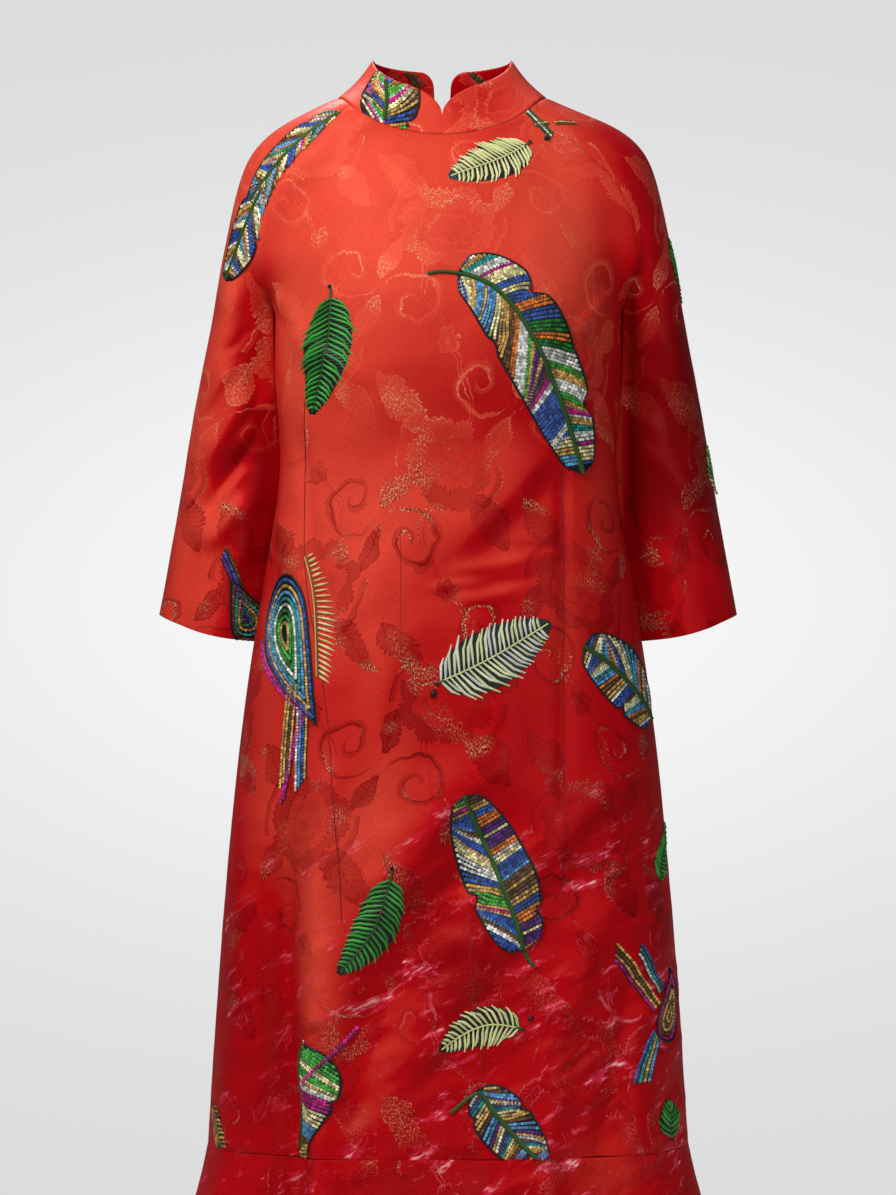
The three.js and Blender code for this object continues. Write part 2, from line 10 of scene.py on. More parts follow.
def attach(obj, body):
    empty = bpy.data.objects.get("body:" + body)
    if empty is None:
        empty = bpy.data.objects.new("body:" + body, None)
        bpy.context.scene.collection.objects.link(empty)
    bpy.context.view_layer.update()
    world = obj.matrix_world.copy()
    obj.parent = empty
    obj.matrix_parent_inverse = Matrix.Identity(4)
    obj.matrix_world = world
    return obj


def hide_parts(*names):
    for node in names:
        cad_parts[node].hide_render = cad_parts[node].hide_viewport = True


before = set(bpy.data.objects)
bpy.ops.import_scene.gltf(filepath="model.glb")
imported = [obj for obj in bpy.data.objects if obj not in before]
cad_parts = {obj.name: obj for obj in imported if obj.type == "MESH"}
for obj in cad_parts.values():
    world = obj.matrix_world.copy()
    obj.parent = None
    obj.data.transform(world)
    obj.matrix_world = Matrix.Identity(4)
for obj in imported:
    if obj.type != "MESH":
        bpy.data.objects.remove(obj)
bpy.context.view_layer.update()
print("frame loaded:", ", ".join(sorted(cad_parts)))

form = {
    "torso": [  # height, half width, depth in front, depth behind
        (40, 56, 38, 42), (12, 80, 50, 56), (-16, 106, 62, 68), (-37, 128, 73, 76), (-60, 148, 86, 85),
        (-100, 166, 104, 96), (-150, 176, 120, 103), (-213, 181.6, 133, 106), (-265, 181, 134, 102),
        (-318, 178, 124, 92), (-374, 174.7, 114, 86), (-435, 181.5, 117, 96), (-500, 192, 123, 109),
        (-567, 203, 128, 119), (-671, 217, 134, 128), (-827, 232, 142, 137), (-983, 243.5, 149, 144),
        (-1078, 249.5, 153, 148),
    ],
    "arm": [  # height, outer edge, inner edge, half depth, how far back its centre lies
        (40, 54, -40, 38, 0), (12, 88, -40, 48, 0), (-5, 130, -24, 53, 1), (-16, 160, 0, 56, 2),
        (-26, 178, 24, 58, 3), (-36, 192, 45, 60, 4), (-57, 208, 78, 63, 5), (-88, 220, 112, 65, 7),
        (-125, 228, 140, 66, 9), (-165, 236.5, 161, 65, 11), (-213, 248, 179, 64, 16), (-265, 257, 172, 61, 28),
        (-318, 266.5, 168, 57, 37), (-374, 275.5, 165, 54, 44), (-435, 286, 171, 54, 48),
        (-500, 298, 181, 56, 50), (-570, 311, 191, 58, 52),
    ],
    "blend": [(40, 60), (-60, 60), (-120, 46), (-170, 24), (-213, 1), (-260, 1)],  # height, how widely they join
    "power": 2.25,  # 2 would be an ellipse; the torso is slightly squarer
    "creaseReach": 24,  # cloth spans creases narrower than this
    "underarm": (181.6, 2, -213),
    "lean": {"shift": -6, "fullZ": -40, "noneZ": -190, "fullX": 110, "noneX": 195},
    "relaxing": {"rounds": 8, "share": 0.8, "reach": 85},
}


def smoothstep(x, low, high):
    share = np.clip((np.asarray(x, float) - low) / (high - low), 0, 1)
    return share * share * (3 - 2 * share)


def mix(a, b, share):
    return a + (b - a) * share


def naturalSpline(xs, ys):
    xs, ys = np.asarray(xs, float), np.asarray(ys, float)
    n, h = len(xs), np.diff(xs)
    system, bend = np.eye(n), np.zeros((n, n))
    for i in range(1, n - 1):
        system[i, i - 1:i + 2] = h[i - 1], 2 * (h[i - 1] + h[i]), h[i]
        bend[i, i - 1:i + 2] = 6 / h[i - 1], -6 / h[i - 1] - 6 / h[i], 6 / h[i]
    second = np.linalg.solve(system, bend @ ys)

    def at(x):
        x = np.asarray(x, float)
        low = np.clip(np.searchsorted(xs, x) - 1, 0, n - 2)
        b = np.clip((x - xs[low]) / h[low], 0, 1)[..., None]
        a, step = 1 - b, h[low][..., None]
        curved = ((a ** 3 - a) * second[low] + (b ** 3 - b) * second[low + 1]) * step ** 2 / 6
        return a * ys[low] + b * ys[low + 1] + curved

    return at


def sectionsOf(table):
    rows = np.array(sorted(table), float)
    spline = naturalSpline(rows[:, 0], rows[:, 1:])
    return lambda z: np.moveaxis(spline(z), -1, 0)


torsoAt, armAt, blendAt = (sectionsOf(form[name]) for name in ("torso", "arm", "blend"))


# The form as distances outside it: an oval section, the torso, the arm, and the two joined.
def ovalDistance(x, y, halfWidth, halfDepth, power=2):
    share = (np.abs(x / halfWidth) ** power + np.abs(y / halfDepth) ** power) ** (1 / power)
    return np.hypot(x, y) * (1 - 1 / np.maximum(share, 1e-6))


def torsoDistance(p):
    x, y, z = np.moveaxis(p, -1, 0)
    side, front, back = torsoAt(z)
    return ovalDistance(x, y, side, np.where(y < 0, front, back), form["power"])


def armDistance(p):
    x, y, z = np.moveaxis(p, -1, 0)
    outer, inner, depth, centre = armAt(z)
    return ovalDistance(np.abs(x) - (outer + inner) / 2, y - centre, (outer - inner) / 2, depth)


def wholeDistance(p):
    a, b = torsoDistance(p), armDistance(p)
    radius = np.maximum(blendAt(p[..., 2])[0], 1)
    overlap = np.maximum(radius - np.abs(a - b), 0) / radius
    return np.minimum(a, b) - overlap ** 2 * radius / 4


def slopeOf(distance, p, reach=0.4):
    return np.stack([(distance(p + s) - distance(p - s)) / (2 * reach) for s in np.eye(3) * reach], -1)


def unit(v):
    return v / np.maximum(np.linalg.norm(v, axis=-1, keepdims=True), 1e-9)


def outward(p):
    low = (p[..., 2] < form["underarm"][2] + 1)[..., None]
    torso, whole = (slopeOf(distance, p, form["creaseReach"]) for distance in (torsoDistance, wholeDistance))
    return unit(np.where(low, torso, whole))


def ontoForm(distance, p):
    p = np.array(p, float)
    for step in range(12):
        slope = slopeOf(distance, p)
        p -= slope * (distance(p) / np.maximum((slope ** 2).sum(-1), 1e-6))[..., None]
    return p


# How far along a line each of its points lies.
def runOf(line):
    return np.concatenate([[0], np.cumsum(np.linalg.norm(np.diff(line, axis=0), axis=1))])


def sampled(line, along, where):
    return np.stack([np.interp(where, along, line[:, k]) for k in range(line.shape[1])], -1)


# A smooth curve through points, asked by its share of the length.
def curveThrough(points, parts=24):
    p = np.vstack([2 * points[0] - points[1], points, 2 * points[-1] - points[-2]])
    line = []
    for p0, p1, p2, p3 in zip(p, p[1:], p[2:], p[3:]):
        d0, d1, d2 = (max(np.linalg.norm(b - a) ** 0.5, 1e-4) for a, b in ((p0, p1), (p1, p2), (p2, p3)))
        t1 = ((p1 - p0) / d0 - (p2 - p0) / (d0 + d1) + (p2 - p1) / d1) * d1
        t2 = ((p2 - p1) / d1 - (p3 - p1) / (d1 + d2) + (p3 - p2) / d2) * d1
        t = np.linspace(0, 1, parts, endpoint=False)[:, None]
        line.append(p1 + t1 * t + (3 * (p2 - p1) - 2 * t1 - t2) * t ** 2 + (2 * (p1 - p2) + t1 + t2) * t ** 3)
    line = np.vstack([*line, points[-1:]])
    along = runOf(line)
    return lambda share: sampled(line, along, np.clip(share, 0, 1) * along[-1])


rings = {  # neck seam and collar edge: plan radii, then heights at the front, side and back
    "neck": {"side": 107, "front": 72, "back": 66, "frontZ": -38, "sideZ": 5, "backZ": -4, "power": 1.4},
    "collar": {"side": 72.5, "front": 57, "back": 54, "frontZ": 10, "sideZ": 46.5, "backZ": 40, "power": 1.15},
}
raglans = {
    "front": [(117, -54, -31), (146, -60, -56), (172, -60, -84), (187, -57, -112), (194, -55, -140),
              (194, -52, -165), (190, -42, -188), (186, -24, -204)],
    "back": [(108, 62, -24), (138, 70, -52), (163, 73, -84), (180, 74, -112), (189, 73, -140),
             (190, 68, -165), (188, 54, -188), (185, 30, -204)],
    "angle": {"front": 0.32 * math.pi, "back": 0.7 * math.pi},
    "ridge": [-5, -26, -46, -70, -100, -140, -180, -198],
}
underarm = np.array(form["underarm"], float)


def ringPoint(ring, angle):
    angle = np.asarray(angle, float)
    c = np.cos(angle)
    depth, endZ = np.where(c > 0, ring["front"], ring["back"]), np.where(c > 0, ring["frontZ"], ring["backZ"])
    z = ring["sideZ"] + (endZ - ring["sideZ"]) * np.abs(c) ** ring["power"]
    return np.stack([ring["side"] * np.sin(angle), -depth * c, z], -1)


def neckPoint(angle):
    return ontoForm(wholeDistance, ringPoint(rings["neck"], angle))


def raglanSeam(end):
    points = [neckPoint(raglans["angle"][end]), *np.array(raglans[end], float), underarm]
    along = curveThrough(np.array(points))

    def at(share):
        on = ontoForm(wholeDistance, along(share))
        return np.where((np.asarray(share) >= 1)[..., None], underarm, on)

    return at


frontSeam, backSeam = raglanSeam("front"), raglanSeam("back")


# Eases the cloth round the underarm, where its rows crowd.
def relaxed(rows):
    settings = form["relaxing"]
    for step in range(settings["rounds"]):
        mean = (rows[:-2, 1:-1] + rows[2:, 1:-1] + rows[1:-1, :-2] + rows[1:-1, 2:]) / 4
        inner = rows[1:-1, 1:-1]
        near = np.exp(-(np.linalg.norm(inner - underarm, axis=-1) / settings["reach"]) ** 2)[..., None]
        rows = rows.copy()
        rows[1:-1, 1:-1] = mix(inner, mean, settings["share"] * near)
    return rows


body = {
    "halfColumns": 11, "raglanRows": 10, "skirtRows": 18, "leastTurn": 0.5,
    "flounceSeamZ": -1078, "hemZ": -1268,
    "slit": {"bottomZ": -128, "neckGap": 17, "collarGap": 20},
}


# A row of half a panel, from its centre line to its edge, bowed as the torso is.
def torsoRow(centreZ, edge, facing):
    depth = torsoAt(centreZ)[1 if facing < 0 else 2]
    turn = math.atan2(edge[0] / torsoAt(edge[2])[0], abs(edge[1]) / depth)
    edgeAngle = max(turn, body["leastTurn"])
    angle = edgeAngle * np.linspace(0, 1, body["halfColumns"])
    fall = (1 - np.cos(angle)) / (1 - math.cos(edgeAngle))
    x = edge[0] * np.sin(angle) / math.sin(edgeAngle)
    return np.stack([x, mix(facing * depth, edge[1], fall), mix(centreZ, edge[2], fall)], -1)


def halfPanel(seam, neckAngle, centreAngle, facing):
    across = np.linspace(0, 1, body["halfColumns"])
    rows = [neckPoint(mix(centreAngle, neckAngle, across))]
    neckZ = rows[0][0, 2]
    for i in range(1, body["raglanRows"]):
        share = i / body["raglanRows"]
        edge = seam(share)
        row = ontoForm(wholeDistance, torsoRow(mix(neckZ, underarm[2], share), edge, facing))
        row[-1] = edge
        rows.append(row)
    for i in range(body["skirtRows"]):
        z = mix(underarm[2], body["flounceSeamZ"], i / (body["skirtRows"] - 1))
        edge = (torsoAt(z)[0], underarm[1] if i == 0 else 0, z)
        rows.append(ontoForm(torsoDistance, torsoRow(z, edge, facing)))
    return relaxed(np.array(rows))


# The grid of a piece on the wearer's left, or its mirror on the right.
def sided(grid, side):
    return grid * (side, 1, 1)


def frontGrid():
    half = halfPanel(frontSeam, raglans["angle"]["front"], 0, -1)
    return np.concatenate([sided(half[:, :0:-1], -1), half], axis=1)


def slitHalfGap(z):
    slit = body["slit"]
    return slit["neckGap"] / 2 * smoothstep(z, slit["bottomZ"], rings["neck"]["backZ"])


def backGrid(side):
    half = halfPanel(backSeam, raglans["angle"]["back"], math.pi, 1)
    across = np.linspace(0, 1, body["halfColumns"])
    half[..., 0] += slitHalfGap(half[:, :1, 2]) * (1 - across) ** 2
    return sided(half, side)


sleeve = {
    "columns": 19, "raglanRows": 10, "armRows": 9, "levelling": 0.15, "closesFrom": 0.25, "rise": 0.5,
    "easesFrom": 0.86, "ease": 0.4, "samples": 61, "outerHemZ": -530, "innerHemZ": -557, "frontDip": 8,
}


def ridgePoint(z):
    outer, _, _, centre = armAt(z)
    return np.stack([outer, centre, np.asarray(z, float)], -1)


# An ellipse about a centre: angle 0 is its top on the ridge, and positive is towards the back.
def onRing(centre, top, depth, angle):
    p = centre + (top - centre) * np.cos(angle)[..., None]
    p[..., 1] += depth * np.sin(angle)
    return p


def angleOnRing(centre, top, depth, p):
    up, out = top - centre, p - centre
    along = out @ up / (up @ up)
    return math.atan2((out[1] - up[1] * along) / depth, along)


def sleeveGrid(side):
    across = np.linspace(-1, 1, sleeve["columns"])
    angles = mix(raglans["angle"]["front"], raglans["angle"]["back"], (across + 1) / 2)
    ridge = curveThrough(np.array([neckPoint(math.pi / 2), *ridgePoint(np.array(raglans["ridge"], float))]))
    rows, count = [neckPoint(angles)], sleeve["raglanRows"]
    for i in range(1, count + 1):
        share = i / count
        front, back = frontSeam(share), backSeam(share)
        top = ridge(share + sleeve["levelling"] * math.sin(math.pi * share))
        closing = float(smoothstep(share, sleeve["closesFrom"], 1))
        centre = mix((front + back) / 2, top, sleeve["rise"] * closing)
        depth = armAt(top[2])[2]
        ends = (-math.pi, math.pi) if i == count else [angleOnRing(centre, top, depth, p) for p in (front, back)]
        s = np.linspace(-1, 1, sleeve["samples"])
        free = onRing(centre, top, depth, np.abs(s) * np.where(s < 0, *ends))
        toFront, toBack = (p - onRing(centre, top, depth, np.array(a)) for p, a in zip((front, back), ends))
        loose = ontoForm(wholeDistance, free + np.where((s < 0)[:, None], toFront, toBack) * s[:, None] ** 2)
        even = curveThrough(np.vstack([front[None], loose[1:-1], back[None]]), 4)
        rows.append(even((across + 1) / 2))
    for i in range(1, sleeve["armRows"] + 1):
        share = i / sleeve["armRows"]
        top = ridgePoint(mix(raglans["ridge"][-1], sleeve["outerHemZ"], share))
        bottomZ = mix(underarm[2], sleeve["innerHemZ"], share)
        _, inner, _, middle = armAt(bottomZ)
        centre = (top + np.array([inner, middle, bottomZ])) / 2
        p = onRing(centre, top, armAt(centre[2])[2], math.pi * across)
        p[:, 2] -= sleeve["frontDip"] * share ** 2 * np.sin(math.pi * across) ** 2
        rows.append(ontoForm(armDistance, p))
    rows = relaxed(np.array(rows))
    stand = sleeve["ease"] * smoothstep(np.arange(len(rows)) / count, sleeve["easesFrom"], 1)[:, None]
    lack = np.where(stand > 0, np.maximum(stand - torsoDistance(rows), 0), 0)
    rows = rows + unit(slopeOf(torsoDistance, rows)) * lack[..., None]
    return sided(rows, side)


collar = {
    "columns": 96, "rows": 18, "crowding": 0.1, "hollow": 3,
    "frontCorner": {"radius": 32, "meetsAt": 0.43}, "backCorner": {"radius": 11, "meetsAt": 0.67},
}


def cornerHeight(corner, distance):
    inside = np.maximum(1 - distance / corner["radius"], 0)
    return corner["meetsAt"] + (1 - corner["meetsAt"]) * np.sqrt(1 - inside * inside)


# Half the collar, its rows from the edge down to the neck seam and its columns from the centre front round.
def collarGrid(side):
    neck, edge = rings["neck"], rings["collar"]
    share = np.linspace(0, 1, collar["columns"])
    share = share - collar["crowding"] * np.sin(2 * math.pi * share)
    footEnd = math.pi - math.asin(slitHalfGap(neck["backZ"]) / neck["side"])
    headEnd = math.pi - math.asin(body["slit"]["collarGap"] / 2 / edge["side"])
    foot, head = neckPoint(footEnd * share), ringPoint(edge, headEnd * share)
    height = cornerHeight(collar["frontCorner"], share * math.pi * edge["front"])
    height = height * cornerHeight(collar["backCorner"], (1 - share) * math.pi * edge["back"])
    up = height * np.linspace(1, 0, collar["rows"])[:, None]
    p = mix(foot, head, up[..., None])
    p[..., :2] *= (1 - collar["hollow"] * np.sin(math.pi * up) / np.hypot(p[..., 0], p[..., 1]))[..., None]
    return sided(p, side)


flounce = {
    "rows": [(0, 0, 0), (0.22, 9, 1.5), (0.48, 23, 5), (0.74, 40, 10), (1, 60, 15)],  # drop, flare, wave height
    "waves": 9, "sway": 0.6, "columns": 33,
}


def flounceGrid(facing, name):
    side, front, back = torsoAt(body["flounceSeamZ"])
    angle = np.linspace(-math.pi / 2, math.pi / 2, flounce["columns"])
    depth = front if facing < 0 else back
    seam = np.stack([side * np.sin(angle), facing * depth * np.cos(angle), 0 * angle + body["flounceSeamZ"]], -1)
    seam = withLargeFolds(ontoForm(torsoDistance, seam), name)
    turn = np.arctan2(seam[:, 0], -seam[:, 1])
    away = unit(seam * (1, 1, 0))
    rows = []
    for drop, flare, wave in flounce["rows"]:
        out = flare + wave * np.cos(flounce["waves"] * turn + flounce["sway"] * np.sin(2 * turn))
        row = seam + away * out[:, None]
        row[:, 2] = mix(body["flounceSeamZ"], body["hemZ"], drop)
        rows.append(row)
    return np.array(rows)


# The neck hangs a little off centre.
def leaning(p):
    lean = form["lean"]
    high = smoothstep(p[..., 2], lean["noneZ"], lean["fullZ"])
    central = 1 - smoothstep(np.abs(p[..., 0]), lean["fullX"], lean["noneX"])
    return p + (lean["shift"] * high * central)[..., None] * (1, 0, 0)




# Soft folds, each a line down the cloth: start, end, half breadth to its left and right, height.
largeFolds = {
    "front": [
        (150, -640, -95, -1050, 42, 42, 7), (40, -660, 10, -980, 38, 38, -6),
        (-165, -760, -165, -1078, 22, 22, -7), (-120, -560, -135, -1078, 30, 30, 5),
        (175, -700, 195, -1078, 34, 34, 5), (100, -880, 120, -1078, 34, 34, -5),
    ],
    "back": [
        (-110, -600, -130, -1078, 40, 40, 6), (-50, -700, -60, -1078, 34, 34, -5),
        (70, -620, 85, -1078, 40, 40, 6), (150, -720, 165, -1078, 34, 34, -5),
    ],
    "fade": {"fromSide": 60, "start": -0.1, "full": 0.45},
}


def withLargeFolds(p, side):
    fade, lift = largeFolds["fade"], 0
    x, z = p[..., 0], p[..., 2]
    for x0, z0, x1, z1, left, right, height in largeFolds[side]:
        dx, dz = x1 - x0, z1 - z0
        along = ((x - x0) * dx + (z - z0) * dz) / (dx * dx + dz * dz)
        off = ((z - z0) * dx - (x - x0) * dz) / math.hypot(dx, dz)
        breadth = np.where(off < 0, left, right)
        lift = lift + height * smoothstep(along, fade["start"], fade["full"]) * np.exp(-(off / breadth) ** 2)
    lift = lift * smoothstep(torsoAt(z)[0] - np.abs(x), 0, fade["fromSide"])
    return p + outward(p) * lift[..., None]


# Finer folds: points down each one (x and height in turn), how high it stands, its half breadth to its left
# and right, and the shares of its length over which it rises and dies away.
folds = {
    "front": [
        ([118, -338, 58, -411, -8, -473], 4.6, 34, 13), ([126, -372, 70, -440, 6, -492], -2.4, 12, 22),
        ([-10, -486, 50, -479, 101, -470], 1.9, 7, 7), ([-8, -515, 40, -512, 86, -502], 1.7, 7, 7),
        ([20, -500, 62, -497, 112, -488], -1.6, 6, 6),
        ([-117, -640, -122, -790, -127, -931, -135, -1035], 13.6, 22, 28, 0.3, 0.25),
        ([-160, -700, -172, -860, -166, -990, -153, -1100], -15.3, 16, 14, 0.3, 0),
        ([75, -670, -8, -733, -91, -879, -127, -1000], 11.9, 34, 17, 0.25, 0.3),
        ([100, -705, 13, -790, -60, -915, -101, -1060], -11, 17, 40, 0.25, 0.1),
        ([120, -815, 34, -889, -39, -993, -75, -1100], 4.5, 26, 15, 0.25, 0),
        ([211, -665, 117, -754, 50, -840], 5.1, 20, 12),
        ([20, -790, 21, -861, 28, -937, 37, -1003], 2.7, 4, 4, 0.2, 0.2),
        ([168, -800, 120, -925, 96, -1100], 9.3, 20, 20, 0.3, 0),
        ([190, -860, 175, -980, 150, -1100], -8.5, 16, 16, 0.3, 0),
        ([-205, -700, -216, -900, -228, -1100], 3, 13, 13, 0.3, 0),
        ([50, -930, 40, -1020, 44, -1100], -6, 18, 18, 0.4, 0),
        ([-186, -190, -153, -236, -138, -300], 2.8, 10, 8, 0.3, 0.4),
        ([180, -186, 140, -236, 128, -290], 4.4, 8, 10, 0.3, 0.4),
        ([-172, -230, -128, -270, -70, -300], 2.6, 16, 12, 0.3, 0.4),
        ([170, -225, 128, -262, 84, -330], -5.1, 16, 16, 0.3, 0.4),
        ([-150, -325, -140, -440, -124, -600], -2.7, 8, 8, 0.2, 0.4),
        ([118, -330, 118, -560, 117, -800], -2.7, 8, 8, 0.2, 0.3),
        ([-178, -420, -150, -520, -142, -640], 5.1, 16, 14, 0.3, 0.4),
        ([40, -560, 60, -660, 44, -760], 6, 26, 26, 0.4, 0.4),
        ([-60, -520, -64, -620, -92, -720], 4.2, 22, 22, 0.4, 0.4),
        ([-150, -236, -128, -262, -104, -280], 1.5, 4, 4, 0.3, 0.4),
        ([142, -240, 120, -268, 102, -304], -1.6, 4, 4, 0.3, 0.4),
        ([-30, -505, 14, -498, 50, -500], 1.6, 5, 4, 0.3, 0.4),
        ([60, -455, 92, -462, 128, -455], -1.6, 5, 4, 0.3, 0.4),
        ([-176, -560, -150, -600, -120, -622], 1.6, 5, 5, 0.3, 0.4), ([-90, -850, -40, -806, 12, -770], 1.8, 5, 6),
        ([-30, -980, 30, -930, 96, -900], 1.8, 5, 6), ([90, -1010, 140, -960, 200, -930], 1.8, 5, 6),
    ],
    "back": [
        ([-118, -330, -40, -440, 30, -500], 5.2, 26, 16), ([110, -350, 50, -440, -20, -480], 4.5, 22, 16),
        ([-90, -470, 0, -486, 92, -474], 3, 9, 9), ([-70, -520, 10, -530, 80, -516], -3, 9, 9),
        ([-130, -640, -150, -860, -156, -1100], 10.5, 24, 24, 0.3, 0),
        ([-84, -700, -98, -900, -96, -1100], -10.5, 18, 18, 0.3, 0),
        ([96, -660, 88, -860, 104, -1100], 10.5, 24, 22, 0.3, 0),
        ([140, -700, 148, -900, 158, -1100], -10.5, 18, 18, 0.3, 0),
        ([30, -700, 20, -900, 40, -1100], -7.5, 20, 20, 0.3, 0),
        ([-20, -760, -40, -940, -34, -1100], 7.5, 18, 18, 0.3, 0),
        ([200, -720, 214, -920, 222, -1100], 6, 14, 14, 0.3, 0),
        ([-204, -720, -212, -920, -226, -1100], 6, 14, 14, 0.3, 0),
        ([-176, -196, -140, -250, -120, -320], 4.5, 12, 12, 0.3, 0.4),
        ([176, -196, 140, -250, 120, -320], 4.5, 12, 12, 0.3, 0.4),
    ],
    "sleeveRight": [  # the sleeve on -x, seen from in front
        ([-186, -296, -222, -330, -262, -392], 6.8, 18, 14), ([-196, -352, -232, -392, -268, -446], -6.8, 14, 16),
        ([-192, -402, -226, -432, -256, -470], 5.4, 12, 12),
        ([-214, -150, -232, -250, -240, -330], 4.1, 14, 14, 0.3, 0.4),
        ([-206, -420, -228, -500, -240, -560], 4.8, 14, 14, 0.3, 0),
        ([-250, -440, -270, -510, -282, -560], -4.1, 12, 12, 0.3, 0),
        ([-196, -240, -200, -300, -190, -350], -4.1, 10, 10),
        ([-188, -318, -215, -352, -236, -398], 2.6, 5, 4, 0.3, 0.4),
        ([-190, -342, -222, -374, -250, -420], -2.6, 4, 5, 0.3, 0.4),
        ([-196, -372, -228, -402, -252, -436], 2.4, 5, 4, 0.3, 0.4),
        ([-188, -292, -208, -322, -220, -352], -2.2, 4, 4, 0.3, 0.4),
        ([-214, -262, -238, -296, -262, -330], 1.8, 5, 4, 0.3, 0.4),
        ([-200, -226, -218, -250, -238, -262], -1.6, 5, 4, 0.3, 0.4),
    ],
    "sleeveLeft": [
        ([200, -234, 232, -262, 262, -312], 4.7, 14, 18), ([192, -290, 226, -326, 264, -376], -4.2, 14, 14),
        ([196, -352, 232, -380, 270, -424], 4.2, 12, 14), ([206, -432, 236, -466, 272, -500], -3.3, 12, 12),
        ([222, -440, 236, -510, 248, -560], 3.3, 14, 14, 0.3, 0),
        ([260, -450, 278, -510, 290, -560], -2.8, 12, 12, 0.3, 0),
        ([226, -160, 236, -240, 240, -300], 2.8, 14, 14, 0.3, 0.4),
        ([192, -262, 214, -292, 240, -318], 1.8, 4, 5, 0.3, 0.4),
        ([192, -330, 220, -362, 250, -392], -1.8, 4, 5, 0.3, 0.4),
    ],
    "ends": (0.3, 0.3),  # where a row gives none
    "edgeCalm": 26,  # how far in from a seam the cloth takes to move freely
    "profile": (0.05, 0.45, 0.3),  # from and to which way out, and how much, the sides of the dress stay plain
    "groove": {"depth": 1.0, "reach": 2.2},
    "girth": 140,  # the radius at which the unevenness is laid round the body
    "soft": {"height": 2.2, "size": 85},
    "wrinkle": {"height": 0.7, "size": 27},
    "crumple": {"height": 1.9, "size": 30, "stretch": 2.6, "turn": 0.55},
    "crumpled": {"down": (640, 900), "across": (-140, 90), "least": 0.45, "more": 0.55},  # where the satin is so
}


# A smooth line through points, with a few parts to each.
def smoothLine(points, parts=8):
    points = np.reshape(points, (-1, 2)).astype(float)
    return naturalSpline(np.arange(len(points)), points)(np.linspace(0, len(points) - 1, parts * len(points)))


def foldLift(p, table):
    x, z, total = p[..., 0], p[..., 2], 0
    for points, height, left, right, *ends in table:
        rises, dies = ends or folds["ends"]
        line = smoothLine(points, 5)
        nearest, where, side = np.full(x.shape, 1e9), np.zeros(x.shape), np.zeros(x.shape)
        for i, ((ax, az), (bx, bz)) in enumerate(zip(line, line[1:])):
            dx, dz = bx - ax, bz - az
            share = np.clip(((x - ax) * dx + (z - az) * dz) / (dx * dx + dz * dz), 0, 1)
            offX, offZ = x - ax - share * dx, z - az - share * dz
            off = np.hypot(offX, offZ)
            closer = off < nearest
            nearest = np.where(closer, off, nearest)
            where = np.where(closer, (i + share) / (len(line) - 1), where)
            side = np.where(closer, dx * offZ - dz * offX, side)
        fade = smoothstep(where, 0, rises) * (1 - smoothstep(where, 1 - dies, 1) if dies else 1)
        total += height * fade * np.exp(-(nearest / np.where(side > 0, right, left)) ** 2)
    return total


def turned(x, y, angle):
    c, s = math.cos(angle), math.sin(angle)
    return x * c + y * s, y * c - x * s


# Smooth seeded noise from -1 to 1, its bumps about one size across.
def softNoise(a, b, size, seed, cells=97):
    grid = np.random.default_rng(seed).uniform(-1, 1, (cells, cells))
    a, b = a / size + 40, b / size + 40
    i, j = np.floor(a).astype(int), np.floor(b).astype(int)
    s, t = smoothstep(a - i, 0, 1), smoothstep(b - j, 0, 1)
    near, far = (mix(grid[i % cells, (j + k) % cells], grid[(i + 1) % cells, (j + k) % cells], s) for k in (0, 1))
    return mix(near, far, t)


# How far each point lies along its cloth from the first column and from the top row.
def walked(p):
    return (np.pad(np.cumsum(np.linalg.norm(np.diff(p, axis=axis), axis=-1), axis=axis), pad)
            for axis, pad in ((1, ((0, 0), (1, 0))), (0, ((1, 0), (0, 0)))))


# How crumpled the satin is: most low down, and more on the wearer's left.
def crumpled(p):
    share = folds["crumpled"]
    low = smoothstep(-p[..., 2], *share["down"])
    return low * (share["least"] + share["more"] * smoothstep(p[..., 0], *share["across"]))


# Small seeded unevenness: soft swells, wrinkles, and the sharp ridges of crumpled cloth.
def livelyLift(p, seed):
    x, z, around = p[..., 0], p[..., 2], np.arctan2(p[..., 0], np.abs(p[..., 1]) + 1) * folds["girth"]
    lift = sum(folds[kind]["height"] * softNoise(around, z, folds[kind]["size"], seed + k)
               for k, kind in enumerate(("soft", "wrinkle")))
    crumple = folds["crumple"]
    along, over = turned(x, z, crumple["turn"])
    sharp = 0
    for height, size, seed in ((1, 1, seed + 2), (0.6, 0.45, seed + 3)):
        ridges = softNoise(along / crumple["stretch"], over, crumple["size"] * size, seed)
        sharp = sharp + height * (1 - 2 * np.abs(ridges))
    return lift + crumple["height"] * crumpled(p) * sharp


weave = {
    "step": 3.7, "edges": (0, 1.2, 3, 6),  # between fine points, and where the first ones lie beside an edge
    "thickness": 1.2, "collarThickness": 1.8, "cornerFrom": 0.8,
}


# Fine stations along a coarse grid's rows or columns: even steps, and closer ones beside the two ends.
def stations(p, axis):
    lengths = np.linalg.norm(np.diff(p, axis=axis), axis=-1).mean(axis=1 - axis)
    along, near = np.concatenate([[0], np.cumsum(lengths)]), np.array(weave["edges"], float)
    total = along[-1]
    count = max(2, round((total - 2 * near[-1]) / weave["step"]))
    where = np.concatenate([near[:-1], np.linspace(near[-1], total - near[-1], count), total - near[-2::-1]])
    return np.interp(where, along, np.arange(len(along)))


